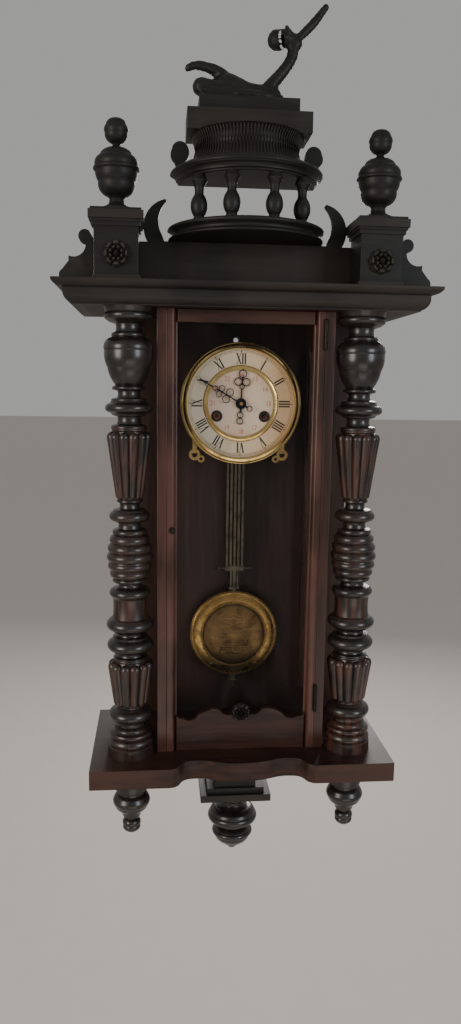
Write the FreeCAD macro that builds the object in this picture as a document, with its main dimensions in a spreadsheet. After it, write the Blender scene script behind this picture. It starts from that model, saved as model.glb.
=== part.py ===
import FreeCAD, Part
import math
import os
import Sketcher
from FreeCAD import Placement, Rotation, Vector

# Pendulum wall clock, a spring regulator in a turned and carved case.
# Millimetres. X is right, Y is back into the wall, Z is up.
# The origin is the hanger hole on the wall plane, above the centre of the dial.

doc = FreeCAD.newDocument("pendulum_wall_clock")
sheet = doc.addObject("Spreadsheet::Sheet", "Sizes")
nodes = []
row_count = 0


class Size:
    """A length that carries its number and the sheet expression it comes from."""

    def __init__(self, value, text):
        self.value = float(value)
        self.text = text

    def __add__(self, other):
        other = as_size(other)
        return Size(self.value + other.value, f"({self.text} + {other.text})")

    def __sub__(self, other):
        other = as_size(other)
        return Size(self.value - other.value, f"({self.text} - {other.text})")

    def __mul__(self, other):
        other = as_size(other)
        return Size(self.value * other.value, f"({self.text} * {other.text})")

    def __truediv__(self, other):
        other = as_size(other)
        return Size(self.value / other.value, f"({self.text} / {other.text})")

    def __neg__(self):
        return as_size(0) - self

    def __radd__(self, other):
        return as_size(other) + self

    def __rsub__(self, other):
        return as_size(other) - self

    def __rmul__(self, other):
        return as_size(other) * self


def as_size(value):
    if isinstance(value, Size):
        return value
    return Size(value, f"({round(float(value), 6)})")


def size(name, value):
    """Write one driving dimension into the sheet."""
    global row_count
    row_count += 1
    sheet.set(f"A{row_count}", name)
    sheet.set(f"B{row_count}", str(value))
    sheet.setAlias(f"B{row_count}", name)
    return Size(value, f"Sizes.{name}")


# Driving dimensions -------------------------------------------------------------------
hanger_rise = size("hanger_rise", 90)
soffit_rise = size("soffit_rise", 119.3)
shelf_drop = size("shelf_drop", 473.5)
shelf_thick = size("shelf_thick", 25.7)
shelf_half = size("shelf_half", 202.7)
shelf_depth = size("shelf_depth", 202)
cornice_rise = size("cornice_rise", 28.7)
cornice_half = size("cornice_half", 239.6)
cornice_depth = size("cornice_depth", 195)
cornice_board = size("cornice_board", 34.6)
back_half = size("back_half", 168)
back_thick = size("back_thick", 10)
side_inner = size("side_inner", 102)
side_thick = size("side_thick", 12.5)
case_depth = size("case_depth", 150)
door_thick = size("door_thick", 20)
stile_wide = size("stile_wide", 13.5)
glass_thick = size("glass_thick", 2.5)
glass_lap = size("glass_lap", 4)
column_x = size("column_x", 150)
column_y = size("column_y", 144.3)
column_radius = size("column_radius", 31.5)
dial_radius = size("dial_radius", 82.5)
dial_front = size("dial_front", 85.4)
hanger_bore = size("hanger_bore", 3.5)
crest_plane = size("crest_plane", 112)
gallery_radius = size("gallery_radius", 102)
gallery_rise = size("gallery_rise", 53.5)
pedestal_x = size("pedestal_x", 163)
pedestal_y = size("pedestal_y", 152)
pedestal_half = size("pedestal_half", 26.7)
pedestal_rise = size("pedestal_rise", 67.5)
pendulum_y = size("pendulum_y", 28)
pendulum_drop = size("pendulum_drop", 407)
bob_radius = size("bob_radius", 65.5)
plate_thick = size("plate_thick", 2)
plate_half = size("plate_half", 50)
plates_apart = size("plates_apart", 34)
back_plate_y = size("back_plate_y", 40)
barrel_x = size("barrel_x", 32.8)
barrel_drop = size("barrel_drop", 17.3)
barrel_radius = size("barrel_radius", 24)
winder_radius = size("winder_radius", 2.5)
arbor_radius = size("arbor_radius", 1.2)
hinge_pin = size("hinge_pin", 1.2)
knuckle_radius = size("knuckle_radius", 2.5)
running_gap = size("running_gap", 0.06)
door_gap = size("door_gap", 0.5)
small_gap = size("small_gap", 0.3)

# Levels worked out from them ------------------------------------------------------------
dial_z = -hanger_rise
soffit = dial_z + soffit_rise
shelf_top = dial_z - shelf_drop
shelf_bottom = shelf_top - shelf_thick
crown = soffit + cornice_rise
case_height = soffit_rise + shelf_drop
back_face = -back_thick
door_front = -case_depth
door_back = door_thick - case_depth
door_half = side_inner - door_gap
sight_half = door_half - stile_wide
glass_front = door_back - door_thick * 0.4
front_plate_y = back_plate_y + plate_thick * 2 + plates_apart
plate_inside = back_plate_y + plate_thick


# Helpers --------------------------------------------------------------------------------
def bind(thing, name, value):
    thing.setExpression(name, as_size(value).text)


def place(thing, x, y, z, rotation=Rotation()):
    x, y, z = as_size(x), as_size(y), as_size(z)
    thing.Placement = Placement(Vector(x.value, y.value, z.value), rotation)
    bind(thing, "Placement.Base.x", x)
    bind(thing, "Placement.Base.y", y)
    bind(thing, "Placement.Base.z", z)
    return thing


def node(label, thing):
    """Name one finished sub-part."""
    thing.Label = label
    nodes.append((label, thing))
    return thing


def box(label, x0, x1, y0, y1, z0, z1):
    thing = doc.addObject("Part::Box", label)
    bind(thing, "Length", as_size(x1) - x0)
    bind(thing, "Width", as_size(y1) - y0)
    bind(thing, "Height", as_size(z1) - z0)
    return place(thing, x0, y0, z0)


TURN = {
    "up": Rotation(),
    "back": Rotation(Vector(1, 0, 0), -90),
    "front": Rotation(Vector(1, 0, 0), 90),
    "right": Rotation(Vector(0, 1, 0), 90),
    "left": Rotation(Vector(0, 1, 0), -90),
}


def rod(label, x, y, z, radius, length, way="up"):
    thing = doc.addObject("Part::Cylinder", label)
    bind(thing, "Radius", radius)
    bind(thing, "Height", length)
    return place(thing, x, y, z, TURN[way])


def cone(label, x, y, z, radius_low, radius_high, length, rotation=Rotation()):
    thing = doc.addObject("Part::Cone", label)
    bind(thing, "Radius1", radius_low)
    bind(thing, "Radius2", radius_high)
    bind(thing, "Height", length)
    return place(thing, x, y, z, rotation)


def ball(label, x, y, z, radius):
    thing = doc.addObject("Part::Sphere", label)
    bind(thing, "Radius", radius)
    return place(thing, x, y, z)


def fuse(label, pieces):
    thing = doc.addObject("Part::MultiFuse", label)
    thing.Shapes = pieces
    return thing


def cut(label, base, tools):
    thing = doc.addObject("Part::Cut", label)
    thing.Base = base
    thing.Tool = tools[0] if len(tools) == 1 else fuse(label + "_tools", tools)
    return thing


def drawn(label, shape, x=0, y=0, z=0, rotation=Rotation()):
    """A shape made by formula, such as teeth or carving."""
    thing = doc.addObject("Part::Feature", label)
    thing.Shape = shape
    return place(thing, x, y, z, rotation)


def origin_plane(body, role):
    for feature in body.Origin.OriginFeatures:
        if feature.Role == role:
            return feature
    raise RuntimeError("no origin plane " + role)


def pin_point(sketch, edge, corner, target):
    """Tie one end of a sketch edge to its place."""
    across = sketch.addConstraint(Sketcher.Constraint("DistanceX", -1, 1, edge, corner, target[0].value))
    sketch.setExpression(f"Constraints[{across}]", target[0].text)
    along = sketch.addConstraint(Sketcher.Constraint("DistanceY", -1, 1, edge, corner, target[1].value))
    sketch.setExpression(f"Constraints[{along}]", target[1].text)


def outline(body, role, start, steps):
    """A closed sketch of lines and arcs. A step is (x, y) or (x, y, bulge to the right)."""
    sketch = body.newObject("Sketcher::SketchObject", body.Name + "_outline")
    sketch.AttachmentSupport = [(origin_plane(body, role), "")]
    sketch.MapMode = "FlatFace"
    here = [as_size(start[0]), as_size(start[1])]
    first = here
    edges = []
    for step in steps:
        there = [as_size(step[0]), as_size(step[1])]
        a = Vector(here[0].value, here[1].value, 0)
        b = Vector(there[0].value, there[1].value, 0)
        if len(step) == 2:
            edge = sketch.addGeometry(Part.LineSegment(a, b), False)
        else:
            bulge = as_size(step[2])
            run = b - a
            normal = Vector(run.y, -run.x, 0).normalize()
            middle = (a + b) * 0.5 + normal * bulge.value
            edge = sketch.addGeometry(Part.Arc(a, middle, b), False)
        start_first = (sketch.getPoint(edge, 1) - a).Length < (sketch.getPoint(edge, 2) - a).Length
        head, tail = (1, 2) if start_first else (2, 1)
        if edges:
            sketch.addConstraint(Sketcher.Constraint("Coincident", edges[-1][0], edges[-1][2], edge, head))
        edges.append((edge, head, tail))
        if len(edges) < len(steps):
            pin_point(sketch, edge, tail, there)
        if len(step) == 3:
            dx = there[0] - here[0]
            dy = there[1] - here[1]
            reach = bulge if bulge.value > 0 else -bulge
            radius = (dx * dx + dy * dy) / (reach * 8) + reach / 2
            index = sketch.addConstraint(Sketcher.Constraint("Radius", edge, radius.value))
            sketch.setExpression(f"Constraints[{index}]", radius.text)
        here = there
    last, _, last_tail = edges[-1]
    sketch.addConstraint(Sketcher.Constraint("Coincident", last, last_tail, edges[0][0], edges[0][1]))
    pin_point(sketch, edges[0][0], edges[0][1], first)
    return sketch


def padded(label, role, start, steps, thickness, x, y, z):
    """A board cut to an outline. XZ outlines grow towards the front, XY outlines upwards."""
    body = doc.addObject("PartDesign::Body", label)
    sketch = outline(body, role, start, steps)
    pad = body.newObject("PartDesign::Pad", label + "_pad")
    pad.Profile = sketch
    bind(pad, "Length", thickness)
    body.Tip = pad
    return place(body, x, y, z)


def turned(label, first_radius, stretches, x, y, z, radial=1, axial=1, way="up", half=False, bore=0):
    """A lathe-turned piece. A stretch is (end radius, rise) or (end radius, rise, bulge)."""
    body = doc.addObject("PartDesign::Body", label)
    radial, axial, bore = as_size(radial), as_size(axial), as_size(bore)
    steps = [(radial * first_radius, as_size(0))]
    height = as_size(0)
    for stretch in stretches:
        height = height + axial * stretch[1]
        point = (radial * stretch[0], height)
        steps.append(point if len(stretch) == 2 else point + (radial * stretch[2],))
    if radial.value * stretches[-1][0] > bore.value + 1e-6:
        steps.append((bore, height))
    steps.append((bore, as_size(0)))
    sketch = outline(body, "XZ_Plane", (bore, as_size(0)), steps)
    spin = body.newObject("PartDesign::Revolution", label + "_spin")
    spin.Profile = sketch
    spin.ReferenceAxis = (sketch, ["V_Axis"])
    spin.Angle = 180 if half else 360
    spin.Reversed = half
    body.Tip = spin
    return place(body, x, y, z, TURN[way])


def total(stretches):
    return sum(stretch[1] for stretch in stretches)


def mirrored_pair(label, maker):
    """The left and the right piece of a pair, in one node."""
    return node(label, fuse(label, [maker(label + "_left", -1), maker(label + "_right", 1)]))


# Case -----------------------------------------------------------------------------------
def case_back():
    plate_half_x = 22
    plate_low, plate_high = -14, 14
    board = box("board", -back_half, back_half, back_face, 0, shelf_top, soffit)
    recess = box("hanger_recess", -plate_half_x, plate_half_x, -plate_thick, 1, plate_low, plate_high)
    hole = rod("hanger_way", 0, 1, 0, hanger_bore + 1, back_thick + 2, "front")
    node("back_board", cut("back_board", board, [recess, hole]))
    plate = box("hanger_blank", -plate_half_x, plate_half_x, -plate_thick, 0, plate_low, plate_high)
    bore = rod("hanger_hole", 0, 1, 0, hanger_bore, plate_thick + 2, "front")
    screws = [rod(f"hanger_screw_{i}", i * 16, -plate_thick / 2, 0, 3, plate_thick, "back") for i in (-1, 1)]
    holed = cut("hanger_plate_holed", plate, [bore])
    node("hanger_plate", cut("hanger_plate", holed, screws))


WINDOW_FRONT, WINDOW_BACK = 36, 20
WINDOW_RAIL = 45
HINGE_LEVELS = (90, -400)
HINGE_AXIS, HINGE_Y = side_inner - door_gap / 2, door_front - knuckle_radius
LEAF, LEAF_ROOM = 0.8, 0.1
BOLT_Z, BOLT_HALF, BOLT_DEEP, BOLT_MIDDLE = -165, 4, 2, 7


def case_side(name, side):
    def span(a, b):
        return (as_size(a), as_size(b)) if side > 0 else (-as_size(b), -as_size(a))
    window_low, window_high = shelf_top + WINDOW_RAIL, soffit - WINDOW_RAIL
    front, back = door_front + WINDOW_FRONT, back_face - WINDOW_BACK
    outside = side_inner + side_thick
    blank = box(name + "_blank", *span(side_inner, outside), door_front, back_face, shelf_top, soffit)
    window = box(name + "_window", *span(side_inner - 1, outside + 1), front, back, window_low, window_high)
    lap = glass_lap
    rebate = box(name + "_rebate", *span(side_inner - 1, side_inner + glass_thick + door_gap),
                 front - lap, back + lap, window_low - lap, window_high + lap)
    tools = [window, rebate]
    if side < 0:
        middle = door_back + BOLT_MIDDLE
        tools.append(box("bolt_pocket", *span(side_inner - 1, side_inner + 8), middle - BOLT_DEEP - door_gap,
                         middle + BOLT_DEEP + door_gap, dial_z + BOLT_Z - BOLT_HALF - door_gap,
                         dial_z + BOLT_Z + BOLT_HALF + door_gap))
    else:
        tools += leaf_seat("case_leaf_seat", 1, LEAF_ROOM)
    return node(name, cut(name, blank, tools))


def side_glass(name, side):
    inner = side_inner + door_gap
    x0, x1 = (inner, inner + glass_thick) if side > 0 else (-inner - glass_thick, -inner)
    edge = glass_lap - small_gap
    return box(name, x0, x1, door_front + WINDOW_FRONT - edge, back_face - WINDOW_BACK + edge,
               shelf_top + WINDOW_RAIL - edge, soffit - WINDOW_RAIL + edge)


def cornice():
    half, depth, tall = cornice_half, cornice_depth, cornice_rise
    inner = half - cornice_board
    board = box("top_board", -inner, inner, -depth + cornice_board, 0, soffit, crown)
    node("top_board", board)
    share = tall.value / 28.7
    # Profile: how far in from the lip, how far down from the top.
    lip, under_lip, step_in, step_down = 3.2, 9.4, 12.2, 13.6

    def point(inset, drop):
        return Vector(-half.value + inset, 0, crown.value - drop * share)

    edges = [
        Part.makeLine(point(0, 0), point(0, lip)),
        Part.Arc(point(0, lip), point(4.0, 7.4), point(11.3, under_lip)).toShape(),
        Part.makeLine(point(11.3, under_lip), point(step_in, under_lip)),
        Part.makeLine(point(step_in, under_lip), point(step_in, step_down)),
        Part.Arc(point(step_in, step_down), point(13.8, 21.2), point(19.4, 26.9)).toShape(),
        Part.makeLine(point(19.4, 26.9), point(21.3, 26.9)),
        Part.makeLine(point(21.3, 26.9), point(21.3, 28.7)),
        Part.makeLine(point(21.3, 28.7), point(cornice_board.value, 28.7)),
        Part.makeLine(point(cornice_board.value, 28.7), point(cornice_board.value, 0)),
        Part.makeLine(point(cornice_board.value, 0), point(0, 0)),
    ]
    profile = drawn("cornice_profile", Part.Wire(edges))
    corners = [Vector(-half.value, 0, crown.value), Vector(-half.value, -depth.value, crown.value),
               Vector(half.value, -depth.value, crown.value), Vector(half.value, 0, crown.value)]
    path = drawn("cornice_path", Part.makePolygon(corners))
    moulding = doc.addObject("Part::Sweep", "cornice")
    moulding.Sections = [profile]
    moulding.Spine = path
    moulding.Solid = True
    moulding.Transition = "Right corner"
    node("cornice", moulding)


def base_shelf():
    half, depth = shelf_half, shelf_depth
    wave_back, wave_front = depth - 23, depth - 12
    steps = [
        (half, 0), (half, -depth), (100, -depth), (84, -(depth - 11), -3.4), (68, -wave_back, 3.4),
        (38, -(wave_back + 5), 2.4), (0, -wave_front, -1.6), (-38, -(wave_back + 5), -1.6),
        (-68, -wave_back, 2.4), (-84, -(depth - 11), 3.4), (-100, -depth, -3.4), (-half, -depth), (-half, 0),
    ]
    slab = padded("shelf_slab", "XY_Plane", (-half, 0), steps, shelf_thick, 0, 0, shelf_bottom)
    node("base_shelf", slab)


# Turned work: (end radius, rise, bulge) from the bottom up --------------------------------
COLUMN_FOOT = 31.5
COLUMN_LOW = [
    (31.2, 12.5), (29.6, 1.2), (28.6, 9.5, 1.6), (26.8, 1.2), (28.6, 7.6, 1.8), (24.6, 1.6), (23.4, 6, -1.4),
    (20.6, 2), (21, 6.2, -0.6), (26, 1.6), (26.4, 13, 3.4), (22, 2), (18.6, 2.6), (18.6, 1.6),
]
COLUMN_LOW_VASE = [(29.6, 50), (26.5, 12.5, 2)]
COLUMN_MIDDLE = [
    (22.2, 3.4, 0.8), (22.4, 2.6, 0.8), (18, 1.2), (17.8, 5, -0.6), (25.6, 2.2), (28.4, 2), (28.2, 11.6, 2.6),
    (23.4, 3.4), (23.4, 2.6), (17.8, 1.4), (18, 4.6, -0.6), (24.6, 2.2), (28.6, 2.6), (28.4, 12, 3), (27, 1.6),
    (23.4, 1.4), (23, 26, -0.8), (23.4, 1.6), (24.6, 1.4), (25.2, 9.6, 2.4), (23, 1.6), (16.2, 1.6),
    (15.2, 4.8, -0.6), (21, 1.8), (22, 5.4, 1.8), (23, 1), (25, 9.4, 2.4), (25.4, 1), (27.2, 10.2, 2.6), (27, 1),
    (28, 11.4, 2.8), (26.8, 1), (26.2, 11, 2.6), (25, 1), (23.4, 10.6, 2.2), (21.4, 1), (21.4, 6.4, 1.2),
    (15.6, 1.6), (15, 7.2, -0.6), (22, 2.6), (22.6, 12.4, 4.2), (20.6, 2.6), (13.4, 1.8), (12.8, 6.2, -0.4),
    (16.6, 2.2), (16.6, 2.6), (15.4, 1),
]
COLUMN_HIGH_VASE = [(27.8, 74), (26, 13.5, 1)]
COLUMN_HIGH = [
    (22.6, 3, 0.6), (22, 5, 1), (16, 1.8), (15, 8.8, -0.8), (21.6, 2.2), (26.4, 3.6, -0.8), (26.8, 11, 4),
    (22.8, 4.6, -1), (22.4, 1.6), (15.4, 1.6), (14.6, 8, -0.8), (20.6, 1.8), (21, 3.6, 0.8), (17.4, 2.2),
    (27.2, 22, 1.6), (31.2, 21, 1.6), (24.8, 15.4, 3.2), (21.2, 1.4), (21, 4.8, 0.8), (17, 1.6), (16.6, 9.6, -0.8),
    (24.6, 2.6), (28, 2.4), (28.6, 9.4, 2.6), (29.4, 1.6), (31, 4.8),
]
COLUMN_ALL = COLUMN_LOW + COLUMN_LOW_VASE + COLUMN_MIDDLE + COLUMN_HIGH_VASE + COLUMN_HIGH
REEDS = 12
REED_PROUD = 5


def reeded_vase(name, radius_low, radius_high, x, z, length):
    """Round reeds standing on a tapered vase."""
    ratio = math.sin(math.pi / REEDS) / (1 + math.sin(math.pi / REEDS))
    scale = column_radius.value / COLUMN_FOOT
    low, high = radius_low * scale * ratio * 1.12, radius_high * scale * ratio * 1.12
    reach_low, reach_high = radius_low * scale - low, radius_high * scale - high
    rise = length.value - low - high
    lean = math.atan2(reach_high - reach_low, rise)
    run = math.hypot(reach_high - reach_low, rise)
    reed = Part.makeCone(low, high, run)
    reed = reed.fuse([Part.makeSphere(low), Part.makeSphere(high, Vector(0, 0, run))])
    reed.rotate(Vector(), Vector(0, 1, 0), math.degrees(lean))
    reed.translate(Vector(reach_low, 0, low))
    reeds = []
    for index in range(REEDS):
        copy = reed.copy()
        copy.rotate(Vector(), Vector(0, 0, 1), 360 / REEDS * (index + 0.5))
        reeds.append(copy)
    return drawn(name, reeds[0].fuse(reeds[1:]), x, -column_y, z)


def column(name, side):
    radial = column_radius / COLUMN_FOOT
    axial = case_height / total(COLUMN_ALL)
    x = column_x * side
    vases = COLUMN_LOW_VASE + COLUMN_HIGH_VASE
    core = [(stretch[0] - REED_PROUD, stretch[1]) if stretch in vases else stretch for stretch in COLUMN_ALL]
    turning = turned(name + "_turning", COLUMN_FOOT, core, x, -column_y, shelf_top, radial, axial)
    low_z = shelf_top + axial * (total(COLUMN_LOW) + 0.3)
    low = reeded_vase(name + "_low_reeds", 23.6, 30.6, x, low_z, axial * 62)
    upto = total(COLUMN_LOW + COLUMN_LOW_VASE + COLUMN_MIDDLE) + 0.3
    high = reeded_vase(name + "_high_reeds", 18.6, 29.2, x, shelf_top + axial * upto, axial * 87)
    return node(name, fuse(name, [turning, low, high]))


# Crest ----------------------------------------------------------------------------------
CREST_LEDGE, CREST_SHOULDER = 57, 56
BASE_THICK, CANOPY_THICK = 16, 20
HORN_RISE, PEDESTAL_FOOT, BOARD_THICK = 108, 2.2, 8.8
canopy_top = crown + CREST_LEDGE + BASE_THICK + gallery_rise + CANOPY_THICK
dome_stretches = [(71, 3, 1), (67, 9), (66, 12, -0.8), (74, 14, -2.4)]
plinth_z = canopy_top + total(dome_stretches)
LOW_SLAB, HIGH_SLAB = 25, 18


def crest_board():
    half = pedestal_x
    rail_half = pedestal_x - pedestal_half - PEDESTAL_FOOT - door_gap
    horn_in, horn_out, horn_tip = gallery_radius + 3, gallery_radius + 24, gallery_radius + 3
    right = [
        (half, 0), (half, CREST_SHOULDER), (horn_out, CREST_SHOULDER), (horn_tip + 1, HORN_RISE, 14),
        (horn_tip - 2, HORN_RISE - 3, 2), (horn_in + 3, CREST_LEDGE + 8, -7), (horn_in, CREST_LEDGE),
    ]
    steps = right + [
        (-horn_in, CREST_LEDGE), (-(horn_in + 3), CREST_LEDGE + 8), (-(horn_tip - 2), HORN_RISE - 3, -7),
        (-(horn_tip + 1), HORN_RISE, 2), (-horn_out, CREST_SHOULDER, 14), (-half, CREST_SHOULDER), (-half, 0),
    ]
    board = padded("crest_panel", "XZ_Plane", (-half, 0), steps, BOARD_THICK, 0, -crest_plane + 2, crown)
    rail_back = -crest_plane + 2 - BOARD_THICK
    rail = box("crest_rail", -rail_half, rail_half, rail_back - 4, rail_back, crown, crown + 9)
    node("crest_board", fuse("crest_board", [board, rail]))


def gallery():
    base_z = crown + CREST_LEDGE
    scale = gallery_radius / 103
    base = [(101, 2.4, 1), (96.5, 2), (98.5, 5.6, -1.6), (100, 1), (100, 5, 2.2)]
    node("gallery_base", turned("gallery_base", 99, base, 0, -crest_plane, base_z, scale, 1, "up", True))
    canopy = [(89, 2.4, 0.8), (91, 1), (96.5, 5.6, -1.4), (97, 1), (97, 4.6, 1.8), (94, 1), (84, 4.4, 1.2)]
    canopy_z = base_z + BASE_THICK + gallery_rise
    node("gallery_canopy", turned("gallery_canopy", 87, canopy, 0, -crest_plane, canopy_z, scale, 1, "up", True))
    post = [(7.4, 2.5), (6.4, 2.5), (6.6, 24, 4), (5.6, 4, -0.4), (7.6, 9, -0.8), (9.2, 3), (9, 3, 0.8), (7, 5.5)]
    axial = gallery_rise / total(post)
    posts = []
    for index, angle in enumerate((-48, -17.5, 17.5, 48)):
        reach = gallery_radius - 17
        x = reach * math.sin(math.radians(angle))
        y = -crest_plane - reach * math.cos(math.radians(angle))
        posts.append(turned(f"baluster_{index}", 7, post, x, y, base_z + BASE_THICK, 1, axial))
    node("gallery_balusters", fuse("gallery_balusters", posts))


def dome_and_plinth():
    dome = turned("crest_dome", 73, dome_stretches, 0, -crest_plane, canopy_top, 1, 1, "up", True)
    node("crest_dome", dome)
    middle = plinth_z + LOW_SLAB
    low = box("plinth_low", -77.5, 77.5, -crest_plane - 40, -crest_plane + 24, plinth_z, middle)
    high = box("plinth_high", -62.5, 62.5, -crest_plane - 30, -crest_plane + 22, middle, middle + HIGH_SLAB)
    node("crest_plinth", fuse("crest_plinth", [low, high]))


def limb(stations):
    """A carved limb lofted through round sections (x, y, z, radius) and rounded at its ends."""
    points = [Vector(*station[:3]) for station in stations]
    wires = []
    for index, station in enumerate(stations):
        before = points[max(index - 1, 0)]
        after = points[min(index + 1, len(points) - 1)]
        circle = Part.Circle(points[index], after - before, station[3])
        wires.append(Part.Wire(circle.toShape()))
    body = Part.makeLoft(wires, True)
    ends = [Part.makeSphere(stations[i][3] * 1.02, points[i]) for i in (0, -1)]
    return body.fuse(ends)


def crest_figure():
    """A reclining long-necked horned beast."""
    trunk = limb([(34, 0, 13, 10), (18, 0, 14, 12), (2, 0, 15, 13), (-14, 0, 18, 16.5), (-38, 0, 17, 14)])
    neck = limb([(20, 0, 14, 11), (26, 0, 21, 9.4), (40, 0, 37, 7.8), (53, 0, 54, 7.2), (58, 0, 71, 7.6)])
    head = limb([(61, 0, 76, 8), (53, 0, 81, 9.6), (44, 0, 81, 11.6), (37, 0, 79.5, 12.4)])
    horn = limb([(61, 0, 78, 5.4), (70, 0, 88.6, 5.6), (80, 0, 98.4, 5.8), (90, 0, 110.5, 5.2), (98, 0, 120.8, 4.4)])
    tail = limb([(-14, 0, 18, 10.5), (-27, 0, 31, 8.6), (-41, 0, 40, 7.2), (-55, 0, 44.5, 6), (-67, 0, 45, 5.4),
                 (-75, 0, 41.5, 4.6)])
    fore = limb([(30, -14, 7, 6.5), (8, -17, 7.5, 6.5), (-14, -15, 8, 7)])
    hind = limb([(-24, -9, 14, 11), (-42, -10, 15, 10.6), (-59, -9, 17, 11)])
    ears = [limb([(52, side * 6, 86, 4), (47, side * 12, 91, 2.6)]) for side in (-1, 1)]
    mound = Part.makeBox(104, 36, 9, Vector(-60, -20, 0))
    carved = trunk.fuse([neck, head, horn, tail, fore, hind, mound] + ears)
    keep = Part.makeBox(400, 200, 300, Vector(-200, -100, 0))
    stand = plinth_z + LOW_SLAB + HIGH_SLAB
    node("crest_figure", drawn("crest_figure", carved.common(keep), 0, -crest_plane + 6, stand))


CAP_RISE, CAP_OVER = 16, 6.3


def pedestal(name, side):
    x, y = pedestal_x * side, -pedestal_y

    def block(part, grow, low, high):
        reach = pedestal_half + grow
        return box(name + part, x - reach, x + reach, y - reach, y + reach, crown + low, crown + high)
    top = pedestal_rise
    pieces = [
        block("_die", 0, 0, top), block("_foot", PEDESTAL_FOOT, 0, 6), block("_neck", 2.4, top - 5, top),
        block("_cap", CAP_OVER, top + 3, top + CAP_RISE - 3), block("_cap_low", CAP_OVER - 2, top, top + 3),
        block("_cap_high", CAP_OVER - 2.4, top + CAP_RISE - 3, top + CAP_RISE),
    ]
    return fuse(name, pieces)


FINIAL = [
    (19, 3), (17, 2, 0.6), (12.5, 2.5, -0.8), (9.5, 3.5, -0.6), (9, 4), (11.5, 3), (22.4, 17, 4), (26, 12, 1),
    (27.8, 1), (27.8, 3.4, 0.6), (26, 1), (21.5, 12, 2.4), (20.5, 0.8), (11, 8, 1.6), (6, 2), (4.6, 2.6, -0.4),
    (6, 1.4), (14, 12, 2.6), (12.6, 9, 1.4), (5, 7.4, 1.8), (1.5, 0.9, 0.2),
]


def finial(name, side):
    return turned(name, 19, FINIAL, pedestal_x * side, -pedestal_y, crown + pedestal_rise + CAP_RISE)


def rosette(name, x, y, z, radius, petals=8):
    """A carved flower standing on the front of a board."""
    pieces = [Part.makeCylinder(radius * 0.92, 2.5)]
    for index in range(petals):
        angle = 2 * math.pi * index / petals
        petal = Part.makeSphere(radius * 0.3)
        middle = Vector(radius * 0.66 * math.cos(angle), radius * 0.66 * math.sin(angle), 2.5)
        petal.translate(middle)
        pieces.append(petal)
    pieces.append(Part.makeSphere(radius * 0.34, Vector(0, 0, 4)))
    flower = pieces[0].fuse(pieces[1:])
    flower = flower.common(Part.makeCylinder(radius * 1.2, radius * 2))
    return drawn(name, flower, x, y, z, TURN["front"])


def pedestal_rosette(name, side):
    return rosette(name, pedestal_x * side, -pedestal_y - pedestal_half, crown + 30, 16)


def bracket(name, side):
    """The scrolled bracket outside a pedestal. It is drawn for the right and turned for the left."""
    s = side
    foot = pedestal_x + pedestal_half + 2.2
    start = (foot * s, 0)
    steps = [
        ((foot + 38) * s, 0), ((foot + 38) * s, 14, 4 * s), ((foot + 30) * s, 24), ((foot + 30) * s, 30),
        ((foot + 9) * s, 45, -7 * s), ((foot + 17) * s, 57, 4 * s), ((foot + 5) * s, 60, 3 * s),
        (foot * s, 52), (foot * s, 0),
    ]
    return padded(name, "XZ_Plane", start, steps, 12, 0, -pedestal_y + 6, crown)


def ear(name, side):
    s = side
    middle = gallery_radius - 16.5
    start = ((middle - 12) * s, 0)
    steps = [
        ((middle + 4) * s, 0), ((middle + 7) * s, 7), ((middle + 10) * s, 22, 3 * s),
        ((middle - 10) * s, 25, 8 * s), ((middle - 7) * s, 8, 3 * s), ((middle - 12) * s, 0),
    ]
    return padded(name, "XZ_Plane", start, steps, 9, 0, -crest_plane, canopy_top)


def frets():
    pieces = [bracket("bracket_left", -1), bracket("bracket_right", 1), ear("ear_left", -1), ear("ear_right", 1)]
    node("fret_scrolls", fuse("fret_scrolls", pieces))


# Below the shelf ------------------------------------------------------------------------
SIDE_PENDANT = [(8, 1.6, 0.8), (11.6, 8, 2.2), (8, 10, 2.6), (8, 1.6), (12.4, 2.6), (13, 2.4), (17, 7, -0.6),
                (23, 7, 1.4), (24, 11, 2), (18.4, 6, 1), (18, 3), (22, 3), (22, 27.8)]
CENTRE_PENDANT = [(6, 3, 1), (14, 8, 1.4), (28, 14, 3), (28, 8, 2.6), (20, 5, 1), (20, 4), (34, 6), (34.6, 12, 3),
                  (26, 9, 2), (17, 6, -1.4), (17, 4), (24, 6, 1), (24, 5), (30, 11)]
BLOCK_DROP, BLOCK_PLATE = 69.3, 10.5


def side_pendant(name, side):
    drop = total(SIDE_PENDANT)
    return turned(name, 5, SIDE_PENDANT, column_x * side, -column_y, shelf_bottom - drop)


def pendants():
    node("side_pendants", fuse("side_pendants", [side_pendant("pendant_left", -1), side_pendant("pendant_right", 1)]))
    neck = box("block_neck", -30, 30, -90, -10, shelf_bottom - BLOCK_DROP, shelf_bottom)
    low = box("block_plate", -51.5, 51.5, -100, 0, shelf_bottom - BLOCK_DROP - BLOCK_PLATE, shelf_bottom - BLOCK_DROP)
    mid = box("block_step", -42, 42, -94, -4, shelf_bottom - BLOCK_DROP, shelf_bottom - BLOCK_DROP + 8)
    node("pendant_block", fuse("pendant_block", [neck, low, mid]))
    drop = total(CENTRE_PENDANT)
    z = shelf_bottom - BLOCK_DROP - BLOCK_PLATE - drop
    node("centre_pendant", turned("centre_pendant", 3, CENTRE_PENDANT, 0, -49.4, z))


# Door -----------------------------------------------------------------------------------
RAIL_TALL = 16


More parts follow.
